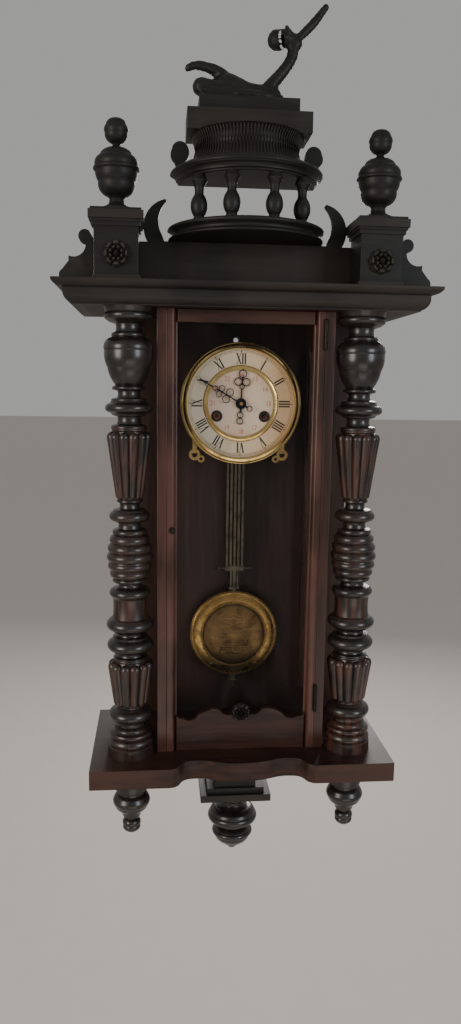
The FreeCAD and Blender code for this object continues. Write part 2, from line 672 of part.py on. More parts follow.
def door():
    bottom, top = shelf_top + door_gap, soffit - door_gap
    tall = top - bottom
    depth = door_thick
    rebate = sight_half + glass_lap
    glass_seat = depth * 0.4
    for name, s in (("door_stile_left", -1), ("door_stile_right", 1)):
        start = (door_half * s, depth)
        steps = [
            (rebate * s, depth), (rebate * s, depth - glass_seat),
            (sight_half * s, depth - glass_seat), (sight_half * s, 9), ((sight_half + 3.2) * s, 5.4, -1.1 * s),
            ((sight_half + 3.2) * s, 4), ((sight_half + 7.4) * s, 0, 1.1 * s), (door_half * s, 0),
            (door_half * s, depth),
        ]
        stile = padded(name, "XY_Plane", start, steps, tall, 0, door_front, bottom)
        if s > 0:
            stile = cut(name + "_seated", stile, leaf_seat("door_leaf_seat", -1, LEAF_ROOM))
        node(name, stile)
    rail_front = door_front + 3
    head = box("head_rail", -sight_half, sight_half, rail_front, door_back, top - RAIL_TALL, top)
    head_rebate = box("head_rebate", -sight_half - 1, sight_half + 1, glass_front, door_back + 1,
                      top - RAIL_TALL - 1, top - RAIL_TALL + glass_lap)
    node("door_top_rail", cut("door_top_rail", head, [head_rebate]))
    level = 49
    steps = [(sight_half, 0), (sight_half, level), (80, level - 4, -1.4)]
    steps += [(62, level - 4, -2.4), (44, level + 7, 2.2), (28, level + 6, 3), (18, level, -1.6)]
    steps += [(-18, level), (-28, level + 6, -1.6), (-44, level + 7, 3), (-62, level - 4, 2.2),
              (-80, level - 4, -2.4), (-sight_half, level, -1.4), (-sight_half, 0)]
    board = padded("foot_rail", "XZ_Plane", (-sight_half, 0), steps, depth - 3, 0, door_back, bottom)
    seat = box("foot_rebate", -sight_half - 1, sight_half + 1, glass_front, door_back + 1, bottom + 34, bottom + 90)
    node("door_bottom_rail", cut("door_bottom_rail", board, [seat]))
    edge = rebate - small_gap
    pane = box("door_glass", -edge, edge, glass_front, glass_front + glass_thick,
               bottom + 34 + small_gap, top - RAIL_TALL + glass_lap - small_gap)
    node("door_glass", pane)
    node("door_rosette", rosette("door_rosette", 0, rail_front, bottom + level + 5, 13))


def hinge_knuckle(name, low, high, side):
    """A length of knuckle and the tab that joins it to the leaf let into the joint."""
    knuckle = rod(name + "_knuckle", HINGE_AXIS, HINGE_Y, low, knuckle_radius, high - low)
    face = side_inner if side > 0 else door_half - LEAF
    tab = box(name + "_tab", face, face + LEAF, door_front - 1.5, door_front + 2, low, high)
    return [knuckle, tab]


def leaf_seat(name, side, room):
    """A box for each leaf, or with some room the recess cut for it."""
    face = side_inner if side > 0 else door_half - LEAF
    out = 1 if room else 0
    x0, x1 = (face - out, face + LEAF + room) if side > 0 else (face - room, face + LEAF + out)
    return [box(f"{name}_{index}", x0, x1, door_front + 0.1 - out, door_front + 15 + room,
                dial_z + level - 18 - room, dial_z + level + 18 + room) for index, level in enumerate(HINGE_LEVELS)]


def hinges():
    case_pieces, door_pieces = leaf_seat("case_leaf", 1, 0), []
    door_leaves = leaf_seat("door_leaf", -1, 0)
    for index, level in enumerate(HINGE_LEVELS):
        z = dial_z + level
        case_pieces += hinge_knuckle(f"case_low_{index}", z - 18, z - 7, 1)
        case_pieces += hinge_knuckle(f"case_high_{index}", z + 7, z + 18, 1)
        case_pieces.append(rod(f"case_pin_{index}", HINGE_AXIS, HINGE_Y, z - 18, hinge_pin, 36))
        case_pieces += [ball(f"case_tip_{index}_{end}", HINGE_AXIS, HINGE_Y, z + end * 18, 2) for end in (-1, 1)]
        blank = hinge_knuckle(f"door_knuckle_{index}", z - 7 + small_gap, z + 7 - small_gap, -1)
        bore = rod(f"door_bore_{index}", HINGE_AXIS, HINGE_Y, z - 8, hinge_pin + running_gap, 16)
        whole = fuse(f"door_hinge_blank_{index}", blank + [door_leaves[index]])
        door_pieces.append(cut(f"door_hinge_{index}", whole, [bore]))
    node("case_hinge_leaves", fuse("case_hinge_leaves", case_pieces))
    node("door_hinge_leaves", fuse("door_hinge_leaves", door_pieces))


def lock():
    z = dial_z + BOLT_Z
    middle = door_back + BOLT_MIDDLE
    inner = door_half - 11
    wall = 2
    shell = box("lock_shell", -door_half, -inner, door_back, middle + BOLT_DEEP + small_gap + wall, z - 14, z + 14)
    way = box("lock_way", -door_half - 1, -inner - wall, middle - BOLT_DEEP - small_gap,
              middle + BOLT_DEEP + small_gap, z - BOLT_HALF - small_gap, z + BOLT_HALF + small_gap)
    plate = rod("lock_escutcheon", -door_half + 7, door_front, z, 4.4, 1.6, "front")
    node("door_lock", fuse("door_lock", [cut("lock_case", shell, [way]), plate]))
    bolt = box("lock_bolt", -door_half, -inner - wall - small_gap, middle - BOLT_DEEP, middle + BOLT_DEEP,
               z - BOLT_HALF, z + BOLT_HALF)
    node("lock_bolt", bolt)


# Dial -----------------------------------------------------------------------------------
DIAL_SKIN = 1.4
PIPE_OUT, CANNON_OUT = 3.4, 2.4
WINDING_HOLE = 4.6


def winding_holes(name, radius, low, length):
    return [rod(f"{name}_{i}", barrel_x * i, -low, dial_z - barrel_drop, radius, length, "front") for i in (-1, 1)]


def dial():
    back = dial_front - DIAL_SKIN
    fit = 0.2
    pan = rod("pan_disc", 0, -back + 2, dial_z, dial_radius - 2, 2, "front")
    eye = rod("pan_eye", 0, -back + 3, dial_z, PIPE_OUT + 0.8, 5, "front")
    feet = []
    foot_from = front_plate_y
    for i, (x, z) in enumerate(((-40, 30), (40, 30), (-20, -48), (20, -48))):
        feet.append(rod(f"dial_foot_{i}", x, -foot_from, dial_z + z, 2, back - foot_from - 1, "front"))
    disc = fuse("pan_with_feet", [pan] + feet)
    node("dial_pan", cut("dial_pan", disc, [eye] + winding_holes("pan_winding", WINDING_HOLE, back - 3, 6)))
    ring = rod("chapter_disc", 0, -back, dial_z, dial_radius - 8.2 - fit, DIAL_SKIN, "front")
    hole = rod("chapter_hole", 0, -back + 1, dial_z, 52 + fit, DIAL_SKIN + 2, "front")
    node("chapter_ring", cut("chapter_ring", ring, [hole]))
    centre = rod("centre_disc", 0, -back, dial_z, 45.4 - fit, DIAL_SKIN, "front")
    eye2 = rod("centre_eye", 0, -back + 1, dial_z, PIPE_OUT + 0.8, DIAL_SKIN + 2, "front")
    node("dial_centre", cut("dial_centre", centre, [eye2] + winding_holes("centre_winding", 7.7 + fit, back - 1, 4)))
    outer = [(82.5, 2), (81.2, 2.2, 1), (78.6, 4, 0.8), (76.4, 0.6), (74.8, 1.6, -0.5)]
    rim = turned("bezel_rim", 82.5, outer, 0, -back, dial_z, dial_radius / 82.5, 1, "front", False, dial_radius - 8.2)
    inner = turned("bezel_inner", 52, [(52, 1.2), (50, 1.2, 0.4), (48.8, 0.3), (46.4, 0.3)], 0, -back, dial_z,
                   1, 1, "front", False, 45.4)
    pieces = [rim, inner]
    for i in (-1, 1):
        pieces.append(turned(f"grommet_{i}", 7.7, [(7.7, 1.4), (6.4, 1.4, 0.5), (5.2, 0.2)], barrel_x * i, -back,
                             dial_z - barrel_drop, 1, 1, "front", False, WINDING_HOLE))
    node("dial_bezels", fuse("dial_bezels", pieces))


# Movement -------------------------------------------------------------------------------
def toothed(teeth, module, thick, phase, pinion=False):
    """Gear teeth drawn from their count, module and the angle of the first tooth."""
    rise, fall = (0.55, 1.5) if pinion else (0.85, 1.3)
    widths = (0.14, 0.17, 0.09) if pinion else (0.21, 0.18, 0.07)
    pitch = module * teeth / 2
    radii = (pitch - fall * module, pitch, pitch + rise * module)
    points = []
    for tooth in range(teeth):
        centre = phase + tooth * 360 / teeth
        flank = list(zip(radii, widths))
        for radius, share in [(r, -w) for r, w in flank] + [(r, w) for r, w in reversed(flank)]:
            angle = math.radians(centre + share * 360 / teeth)
            points.append(Vector(radius * math.cos(angle), 0, radius * math.sin(angle)))
    face = Part.Face(Part.makePolygon(points + points[:1]))
    return face.extrude(Vector(0, -thick, 0))


def bearing(a, b):
    """The direction from one arbor to another, in degrees."""
    return math.degrees(math.atan2(b[1] - a[1], b[0] - a[0]))


def mesh_phase(teeth, direction):
    """The phase that puts a gap on the line of centres."""
    return direction + 180 / teeth


BARREL = (barrel_x.value, -barrel_drop.value)
MESH = {"great": (72, 9, 0.75), "second": (64, 8, 0.6), "centre": (84, 8, 0.45), "third": (72, 8, 0.42)}


def reach(stage):
    wheel, pinion, module = MESH[stage]
    return module * (wheel + pinion) / 2


def two_circles(a, radius_a, b, radius_b):
    """Where an arbor stands at its two gear distances, on the upper side."""
    dx, dz = b[0] - a[0], b[1] - a[1]
    apart = math.hypot(dx, dz)
    along = (apart ** 2 + radius_a ** 2 - radius_b ** 2) / (2 * apart)
    off = math.sqrt(max(radius_a ** 2 - along ** 2, 0))
    return (a[0] + along * dx / apart - off * dz / apart, a[1] + along * dz / apart + off * dx / apart)


CENTRE = (0.0, 0.0)
SECOND = two_circles(CENTRE, reach("second"), BARREL, reach("great"))
SECOND = SECOND if SECOND[1] > 0 else two_circles(BARREL, reach("great"), CENTRE, reach("second"))
ESCAPE = (0.0, 36.0)
THIRD = two_circles(CENTRE, reach("centre"), ESCAPE, reach("third"))
PALLET_Z = 62
HOUR_RATIO = {"cannon": (12, 36, 0.5), "hour": (10, 40, 0.48)}
MINUTE_ARBOR = (0.0, -12.0)


def at_depth(depth):
    """Y of a point so far in front of the back plate's inner face."""
    return -(plate_inside + depth)


def wheel_on(name, where, depth, teeth, module, thick, phase, pinion=False):
    return drawn(name, toothed(teeth, module, thick, phase, pinion), where[0], at_depth(depth), dial_z + where[1])


def arbor(name, where, low, high, radius):
    return rod(name, where[0], at_depth(low), dial_z + where[1], radius, as_size(high) - low, "front")


def plates():
    top, low = 68, -55
    corner = 15
    half = plate_half
    steps = [(half - corner, low), (half, low + corner), (half, top - corner), (half - corner, top),
             (corner - half, top), (-half, top - corner), (-half, low + corner), (corner - half, low)]
    pivots = [CENTRE, SECOND, THIRD, ESCAPE, (0.0, float(PALLET_Z))]
    radius = arbor_radius + running_gap

    def plate(name, depth_low):
        sheet_body = padded(name + "_sheet", "XZ_Plane", (corner - half, low), steps, plate_thick,
                            0, at_depth(depth_low), dial_z)
        holes = [arbor(f"{name}_pivot_{i}", where, depth_low - 1, depth_low + plate_thick + 1,
                       radius if i else as_size(1.8) + running_gap) for i, where in enumerate(pivots)]
        holes += [arbor(f"{name}_barrel_{i}", (barrel_x * i, -barrel_drop), depth_low - 1,
                        depth_low + plate_thick + 1, winder_radius + running_gap) for i in (-1, 1)]
        return sheet_body, holes
    sheet_body, holes = plate("back_plate", -plate_thick)
    pillars = []
    for i, (x, z) in enumerate(((-42, 50), (42, 50), (-13, -50), (13, -50))):
        pillars.append(arbor(f"pillar_{i}", (x, z), -1, plates_apart, 3))
    cock = [box("cock_left", -9, -1.2, -back_plate_y, -pendulum_y + 5, dial_z + 64, dial_z + 69),
            box("cock_right", 1.2, 9, -back_plate_y, -pendulum_y + 5, dial_z + 64, dial_z + 69),
            box("cock_end", -9, 9, -pendulum_y + 5, -pendulum_y + 8, dial_z + 64, dial_z + 69),
            rod("cock_pin", -5, -pendulum_y, dial_z + 67.5, 0.8, 10, "right")]
    node("back_plate", fuse("back_plate", [cut("back_plate_bored", sheet_body, holes)] + pillars + cock))
    sheet_body, holes = plate("front_plate", plates_apart)
    stud = arbor("minute_stud", MINUTE_ARBOR, plates_apart + plate_thick - 1, plates_apart + plate_thick + 3.6, 1.1)
    node("front_plate", fuse("front_plate", [cut("front_plate_bored", sheet_body, holes), stud]))


DRUM_LOW, DRUM_HIGH = 8, 31


def barrel(name, side):
    where = (barrel_x * side, -barrel_drop)
    drum = arbor(name + "_drum", where, DRUM_LOW, DRUM_HIGH, barrel_radius)
    web = arbor(name + "_web", where, 5, DRUM_LOW, 14)
    teeth, _, module = MESH["great"]
    phase = bearing(BARREL, SECOND) if side > 0 else 180 - bearing(BARREL, SECOND)
    x = barrel_x.value * side
    wheel = wheel_on(name + "_wheel", (x, -barrel_drop.value), 5, teeth, module, 2, phase)
    bore = arbor(name + "_bore", where, 4, DRUM_HIGH + 1, winder_radius + running_gap)
    return node(name, cut(name, fuse(name + "_blank", [drum, web, wheel]), [bore]))


def winder(name, side):
    where = (barrel_x * side, -barrel_drop)
    shaft = arbor(name + "_shaft", where, -plate_thick - 1, plates_apart + plate_thick + 2, winder_radius)
    front = plates_apart + plate_thick + 2
    half = winder_radius * 0.7
    square = box(name + "_square", barrel_x * side - half, barrel_x * side + half, at_depth(front + 6.8),
                 at_depth(front), dial_z - barrel_drop - half, dial_z - barrel_drop + half)
    collars = [arbor(f"{name}_collar_{i}", where, low, high, 5)
               for i, (low, high) in enumerate(((1, 4.5), (DRUM_HIGH + 0.5, plates_apart - 0.5)))]
    return node(name, fuse(name, [shaft, square] + collars))


def train():
    end = plates_apart + plate_thick - small_gap
    # Second arbor: pinion in the great wheel, wheel driving the centre pinion.
    teeth = MESH["great"][1]
    down = bearing(SECOND, BARREL)
    pinion = wheel_on("second_pinion", SECOND, 4.5, teeth, MESH["great"][2], 3, mesh_phase(teeth, down), True)
    wheel = wheel_on("second_wheel", SECOND, 32, MESH["second"][0], MESH["second"][2], 1.5, bearing(SECOND, CENTRE))
    shaft = arbor("second_shaft", SECOND, small_gap - plate_thick, end, arbor_radius)
    node("intermediate_wheel", fuse("intermediate_wheel", [pinion, wheel, shaft]))
    # Centre arbor, with the cannon that carries the minute hand.
    teeth = MESH["second"][1]
    pinion = wheel_on("centre_pinion", CENTRE, 31.5, teeth, MESH["second"][2], 2.4,
                      mesh_phase(teeth, bearing(CENTRE, SECOND)), True)
    wheel = wheel_on("centre_wheel", CENTRE, 1.2, MESH["centre"][0], MESH["centre"][2], 1.5, bearing(CENTRE, THIRD))
    shaft = arbor("centre_shaft", CENTRE, small_gap - plate_thick, plates_apart + plate_thick + 1, 1.8)
    front = plates_apart + plate_thick + 0.6
    cannon_teeth, minute_teeth, module = HOUR_RATIO["cannon"]
    cannon = wheel_on("cannon_pinion", CENTRE, front, cannon_teeth, module, 1.2,
                      mesh_phase(cannon_teeth, -90), True)
    pipe = arbor("cannon_pipe", CENTRE, front, front + 13.6, CANNON_OUT)
    tip = arbor("cannon_tip", CENTRE, front + 13, front + 17, 1.6)
    node("centre_arbor", fuse("centre_arbor", [pinion, wheel, shaft, cannon, pipe, tip]))
    # Third and escape arbors.
    teeth = MESH["centre"][1]
    pinion = wheel_on("third_pinion", THIRD, 0.8, teeth, MESH["centre"][2], 2.4,
                      mesh_phase(teeth, bearing(THIRD, CENTRE)), True)
    wheel = wheel_on("third_disc", THIRD, 14, MESH["third"][0], MESH["third"][2], 1.5, bearing(THIRD, ESCAPE))
    shaft = arbor("third_shaft", THIRD, small_gap - plate_thick, end, 1)
    node("third_wheel", fuse("third_wheel", [pinion, wheel, shaft]))
    teeth = MESH["third"][1]
    pinion = wheel_on("escape_pinion", ESCAPE, 13.2, teeth, MESH["third"][2], 3,
                      mesh_phase(teeth, bearing(ESCAPE, THIRD)), True)
    points = []
    for tooth in range(30):
        for radius, turn in ((12.6, 0), (12.6, 7), (15, 9.5), (14.9, 9.9)):
            angle = math.radians(tooth * 12 + turn)
            points.append(Vector(radius * math.cos(angle), 0, radius * math.sin(angle)))
    disc = Part.Face(Part.makePolygon(points + points[:1])).extrude(Vector(0, -1.5, 0))
    wheel = drawn("escape_disc", disc, 0, at_depth(22), dial_z + ESCAPE[1])
    shaft = arbor("escape_shaft", ESCAPE, small_gap - plate_thick, end, 1)
    node("escape_wheel", fuse("escape_wheel", [pinion, wheel, shaft]))


def motion_work():
    front = plates_apart + plate_thick + 0.6
    cannon_teeth, minute_teeth, module = HOUR_RATIO["cannon"]
    pinion_teeth, hour_teeth, hour_module = HOUR_RATIO["hour"]
    big = wheel_on("minute_disc", MINUTE_ARBOR, front, minute_teeth, module, 1.2, 90)
    small = wheel_on("minute_pinion", MINUTE_ARBOR, front + 1.2, pinion_teeth, hour_module, 1.6,
                     mesh_phase(pinion_teeth, 90), True)
    bore = arbor("minute_bore", MINUTE_ARBOR, front - 1, front + 4, as_size(1.1) + running_gap)
    node("minute_wheel", cut("minute_wheel", fuse("minute_blank", [big, small]), [bore]))
    disc = wheel_on("hour_disc", CENTRE, front + 1.6, hour_teeth, hour_module, 1, -90)
    pipe = arbor("hour_pipe", CENTRE, front + 1.6, front + 10, PIPE_OUT)
    bore = arbor("hour_bore", CENTRE, front, front + 12, as_size(CANNON_OUT) + running_gap)
    node("hour_wheel", cut("hour_wheel", fuse("hour_blank", [disc, pipe]), [bore]))


def anchor():
    depth = 20.5
    where = (0.0, float(PALLET_Z))
    shaft = arbor("anchor_shaft", where, -plate_thick - 4.5, plates_apart + plate_thick - small_gap, arbor_radius)
    arms = []
    for side in (-1, 1):
        arm = [Vector(side * x, 0, z) for x, z in ((0, 3), (8, 0.5), (15.5, -8), (14.2, -14.5), (12.4, -14.2),
                                                   (12.2, -8.5), (6, -2.6), (0, -2.4))]
        face = Part.Face(Part.makePolygon(arm + arm[:1]))
        arms.append(drawn(f"anchor_arm_{side}", face.extrude(Vector(0, -4, 0)), 0, at_depth(depth), dial_z + PALLET_Z))
    crutch_y = -back_plate_y + 1.5
    crutch = box("crutch_arm", -1.6, 1.6, crutch_y, crutch_y + 2, dial_z + 2, dial_z + PALLET_Z + 1.6)
    pin = rod("crutch_pin", 0, crutch_y, dial_z + 5, 1, back_plate_y - pendulum_y + 2, "back")
    node("anchor", fuse("anchor", [shaft, crutch, pin] + arms))


def bar_between(name, a, b, half, y, thick):
    """A straight flat bar between two points of the dial plane."""
    run = Vector(b[0] - a[0], 0, b[1] - a[1])
    side = Vector(-run.z, 0, run.x).normalize() * half
    start, stop = Vector(a[0], 0, a[1]), Vector(b[0], 0, b[1])
    corners = [start + side, stop + side, stop - side, start - side]
    face = Part.Face(Part.makePolygon(corners + corners[:1]))
    return drawn(name, face.extrude(Vector(0, -thick, 0)), 0, y, dial_z)


def ring_at(name, x, z, outer, inner, y, thick):
    whole = Part.makeCylinder(outer, thick, Vector(x, 0, z), Vector(0, -1, 0))
    hole = Part.makeCylinder(inner, thick + 2, Vector(x, 1, z), Vector(0, -1, 0))
    return drawn(name, whole.cut(hole), 0, y, dial_z)


def hand(name, turn, length, tail, point, hub, bore, y, thick, rings):
    """A blued hand: hub, pierced loops along a slim blade, pointed tip and a tail."""
    def spot(radius, side=0.0):
        angle = math.radians(90 - turn)
        return (radius * math.cos(angle) - side * math.sin(angle), radius * math.sin(angle) + side * math.cos(angle))
    pieces = [ring_at(name + "_hub", 0, 0, hub, bore.value, y, thick)]
    last = 5.6
    for index, (middle, side, outer, inner) in enumerate(rings):
        centre = spot(middle, side)
        pieces.append(ring_at(f"{name}_ring_{index}", centre[0], centre[1], outer, inner, y, thick))
    stops = sorted({(m - o, m + o) for m, s, o, _ in rings if s == 0 and m > 0})
    for index, (low, high) in enumerate(stops):
        pieces.append(bar_between(f"{name}_blade_{index}", spot(last), spot(low + 0.5), 0.9, y, thick))
        last = high - 0.5
    pieces.append(bar_between(f"{name}_blade_end", spot(last), spot(length - point * 0.6), 0.8, y, thick))
    wide, shoulder = point * 0.13, length - point * 0.8
    tip = [spot(length), spot(shoulder, wide), spot(length - point), spot(shoulder, -wide)]
    corners = [Vector(x, 0, z) for x, z in tip]
    face = Part.Face(Part.makePolygon(corners + corners[:1]))
    pieces.append(drawn(name + "_tip", face.extrude(Vector(0, -thick, 0)), 0, y, dial_z))
    pieces.append(bar_between(name + "_tail", spot(-5.6), spot(-tail), 1.3, y, thick))
    return node(name, fuse(name, pieces))


def hands():
    front = plates_apart + plate_thick + 0.6
    hour_loops = [(23, 0, 3.6, 2.5), (29.5, 5.5, 5.6, 4.5), (29.5, -5.5, 5.6, 4.5), (40.6, 0, 5.6, 4.5),
                  (-15.6, 0, 4.4, 3.3), (-24, 0, 4.6, 3.5)]
    hand("hour_hand", 3, 49, 12, 5, 7.4, as_size(PIPE_OUT), at_depth(front + 8.8), 1.1, hour_loops)
    minute_loops = [(21, 5.3, 5.4, 4.3), (21, -5.3, 5.4, 4.3), (33, 4.3, 4.4, 3.4), (33, -4.3, 4.4, 3.4),
                    (41.5, 0, 3.6, 2.6), (-13.4, 0, 4, 2.9)]
    hand("minute_hand", -60, 68, 10, 15, 6, as_size(CANNON_OUT), at_depth(front + 12.2), 1.1, minute_loops)


def movement_bracket():
    y = -back_plate_y
    cross = [box("bracket_low", -66, 66, y, y + 3, dial_z - 46, dial_z - 36),
             box("bracket_top_left", -62, -14, y, y + 3, dial_z + 40, dial_z + 48),
             box("bracket_top_right", 14, 62, y, y + 3, dial_z + 40, dial_z + 48)]
    cross += [box(f"bracket_post_{i}", 52 * i - 4, 52 * i + 4, y + 3, back_face, dial_z - 46, dial_z + 48)
              for i in (-1, 1)]
    cross += [box(f"bracket_arm_{i}", 62 * i - 3, 62 * i + 3, y - 25, y + 3, dial_z - 70, dial_z - 36) for i in (-1, 1)]
    cross += [ring_at(f"bracket_scroll_{i}", 62 * i, -72, 8, 4, y - 20, 5) for i in (-1, 1)]
    cross += [ring_at(f"bracket_curl_{i}", 53 * i, -78, 5, 2.4, y - 20, 5) for i in (-1, 1)]
    stud = rod("hammer_stud", HAMMER_X, y + 3, dial_z + HAMMER_Z, 1.6, 20, "back")
    node("movement_bracket", fuse("movement_bracket", cross + [stud]))


HAMMER_X, HAMMER_Z = 63, -42
GONG_OUT, GONG_WIRE = 48, 1.5


def gong():
    spiral = doc.addObject("Part::Spiral", "gong_line")
    spiral.Radius = 14
    spiral.Growth = 9
    spiral.Rotations = (GONG_OUT - 14) / 9
    section = doc.addObject("Part::Feature", "gong_section")
    section.Shape = Part.Wire(Part.makeCircle(GONG_WIRE, Vector(14, 0, 0), Vector(0, 1, 0)))
    coil = doc.addObject("Part::Sweep", "gong_coil")
    coil.Sections = [section]
    coil.Spine = spiral
    coil.Solid = True
    coil.Frenet = True
    place(coil, 0, back_face - 6, dial_z, TURN["front"])
    foot = rod("gong_foot", 14, back_face, dial_z, 4, 8, "front")
    node("gong", fuse("gong", [coil, foot]))


def hammer():
    y = -back_plate_y + 6
    hub = rod("hammer_hub", HAMMER_X, y, dial_z + HAMMER_Z, 4, 4, "back")
    arm = box("hammer_arm", HAMMER_X - 1.4, HAMMER_X + 1.4, y + 0.5, y + 3, dial_z + HAMMER_Z, dial_z + 2)
    head = rod("hammer_head", HAMMER_X, y, dial_z + 2, 5, 18, "back")
    bore = rod("hammer_bore", HAMMER_X, y - 1, dial_z + HAMMER_Z, as_size(1.6) + running_gap, 8, "back")
    node("hammer", cut("hammer", fuse("hammer_blank", [hub, arm, head]), [bore]))


# Pendulum -------------------------------------------------------------------------------
def pendulum():
    pivot = dial_z + PALLET_Z
    bob_z = pivot - pendulum_drop
    y = -pendulum_y
    rod_half, rod_thick = 2, 1
    grid_top, grid_low, cross = -70, -244, -244
    node("suspension_spring", box("suspension_spring", -0.3, 0.3, y - 3, y + 3, pivot - 12, pivot + 4.6))

    def bar(name, x, half, low, high, thick=rod_thick):
        return box(name, x - half, x + half, y - thick, y + thick, low, high)
    nut_top = bob_z - bob_radius - 1.5
    pieces = [bar("rod_top", 0, 3, pivot - 62, pivot - 12.2, 1.5), bar("rod_neck", 0, rod_half, dial_z - 72, pivot - 60)]
    pieces.append(bar("grid_head", 0, 13, dial_z + grid_top - 6, dial_z + grid_top + 2, 1.8))
    for index, x in enumerate((-11.4, -5.7, 0, 5.7, 11.4)):
        pieces.append(bar(f"grid_strip_{index}", x, 1.5, dial_z + grid_low, dial_z + grid_top))
    pieces.append(bar("grid_foot", 0, 14, dial_z + cross - 4, dial_z + cross + 3, 1.8))
    pieces.append(rod("cross_bar", -24, y, dial_z + cross, 1.3, 48, "right"))
    pieces += [ball(f"cross_knob_{i}", 24 * i, y, dial_z + cross, 2.6) for i in (-1, 1)]
    for index, x in enumerate((-5, 5)):
        pieces.append(bar(f"low_strip_{index}", x, 1.2, bob_z + bob_radius + 4, dial_z + cross))
    pieces.append(bar("low_cap", 0, 7.5, bob_z + bob_radius + 3, bob_z + bob_radius + 7, 1.6))
    pieces.append(bar("rod_low", 0, rod_half, nut_top + 1, dial_z + cross))
    pieces.append(rod("rod_thread", 0, y, nut_top - 16, 1.5, 17.4))
    blank = fuse("pendulum_rod_blank", pieces)
    crutch_slot = rod("crutch_slot", 0, y - 4, dial_z + 5, 1.3, 8, "back")
    node("pendulum_rod", cut("pendulum_rod", blank, [crutch_slot]))
    scale = bob_radius / 62.5
    face = [(62.5, 7), (61.8, 1, 0.3), (59, 2.4, 0.7), (48.4, 1.8, 0.3), (47.6, 0.1), (46.4, 1.2, 0.7), (44.8, 1.1, 0.7),
            (43.8, 0.2), (24, 1.8, 0.6), (5, 1)]
    disc = turned("bob_disc", 58, [(62.5, 2, 0.6)] + face, 0, y + 7, bob_z, scale, 0.72, "front")
    room = rod_thick + small_gap * 2
    slot = box("bob_slot", -rod_half - small_gap, rod_half + small_gap, y - room, y + room,
               bob_z - bob_radius - 2, bob_z + bob_radius + 2)
    rivets = []
    for index in range(10):
        angle = math.radians(36 * index + 18)
        x = 54.6 * scale * math.cos(angle)
        z = bob_z + 54.6 * scale * math.sin(angle)
        rivets.append(ball(f"bob_rivet_{index}", x, y - 1.2, z, 2.2))
    node("pendulum_bob", cut("pendulum_bob", fuse("bob_blank", [disc] + rivets), [slot]))
    nut = rod("nut_blank", 0, y, nut_top - 5, 6.5, 5)
    bore = rod("nut_bore", 0, y, nut_top - 6, as_size(1.5) + running_gap, 7)
    node("rating_nut", cut("rating_nut", nut, [bore]))


# Build everything -----------------------------------------------------------------------
case_back()
case_side("side_frame_left", -1)
case_side("side_frame_right", 1)
mirrored_pair("side_glasses", side_glass)
cornice()
base_shelf()
column("column_left", -1)
column("column_right", 1)
crest_board()
gallery()
dome_and_plinth()
crest_figure()
mirrored_pair("pedestals", pedestal)
frets()
mirrored_pair("pedestal_rosettes", pedestal_rosette)
mirrored_pair("finials", finial)
pendants()
door()
hinges()
lock()
dial()
plates()
barrel("going_barrel", 1)
barrel("strike_barrel", -1)
winder("going_winding_arbor", 1)
winder("strike_winding_arbor", -1)
train()
motion_work()
anchor()
hands()
movement_bracket()
gong()
hammer()
pendulum()

doc.recompute()
faults = []
for thing in doc.Objects:
    if "Invalid" in thing.State or "Error" in thing.State:
        faults.append(thing.Label)
for label, thing in nodes:
    if thing.Shape.isNull() or not thing.Shape.isValid():
        faults.append("shape of " + label)
if faults:
    raise RuntimeError("failed: " + ", ".join(faults))

os.makedirs("parts", exist_ok=True)
for label, thing in nodes:
    thing.Shape.exportStep(f"parts/{label}.step")
print(len(nodes), "sub-parts written")
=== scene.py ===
# %% [markdown]
# # A pendulum wall clock
# The working parts come in as fixed solids, in metres, with the hanger hole at the origin.
# Everything here is laid on those solids: finishes for each one, the printing on the dial,
# and the carving. The box of the solids is measured first and its size printed.

# %% Load the solids
import math

import bmesh
import bpy
from mathutils import Matrix, Vector, noise


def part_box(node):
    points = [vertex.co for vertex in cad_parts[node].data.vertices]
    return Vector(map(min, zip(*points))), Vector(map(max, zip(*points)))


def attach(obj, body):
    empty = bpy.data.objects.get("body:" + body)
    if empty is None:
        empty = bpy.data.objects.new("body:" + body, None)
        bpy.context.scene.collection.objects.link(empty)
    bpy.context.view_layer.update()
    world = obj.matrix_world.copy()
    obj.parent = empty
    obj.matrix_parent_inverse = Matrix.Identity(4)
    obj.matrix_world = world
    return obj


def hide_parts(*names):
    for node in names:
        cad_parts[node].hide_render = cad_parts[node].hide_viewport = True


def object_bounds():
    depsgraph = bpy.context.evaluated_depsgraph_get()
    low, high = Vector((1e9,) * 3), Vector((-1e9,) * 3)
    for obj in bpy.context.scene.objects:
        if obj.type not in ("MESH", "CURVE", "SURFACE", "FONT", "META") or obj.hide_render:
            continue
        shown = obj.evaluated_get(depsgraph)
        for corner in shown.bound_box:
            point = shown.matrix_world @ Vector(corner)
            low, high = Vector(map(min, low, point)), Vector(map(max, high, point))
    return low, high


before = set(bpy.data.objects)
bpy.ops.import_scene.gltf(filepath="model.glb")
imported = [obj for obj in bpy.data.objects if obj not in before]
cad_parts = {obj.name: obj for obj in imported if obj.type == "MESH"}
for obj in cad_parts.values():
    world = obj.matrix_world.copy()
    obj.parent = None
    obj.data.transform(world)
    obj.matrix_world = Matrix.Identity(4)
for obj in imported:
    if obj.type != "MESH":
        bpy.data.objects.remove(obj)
solid_low, solid_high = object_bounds()
MM = 0.001
size = [round((b - a) / MM) for a, b in zip(solid_low, solid_high)]
print("solids span", size, "mm")

# %% [markdown]
# ## Places that everything else is measured from
# Named boxes of the solids give the centre of the dial, the face of each board and so on.
# Reading them keeps the looks tied to the solids if a size ever changes.

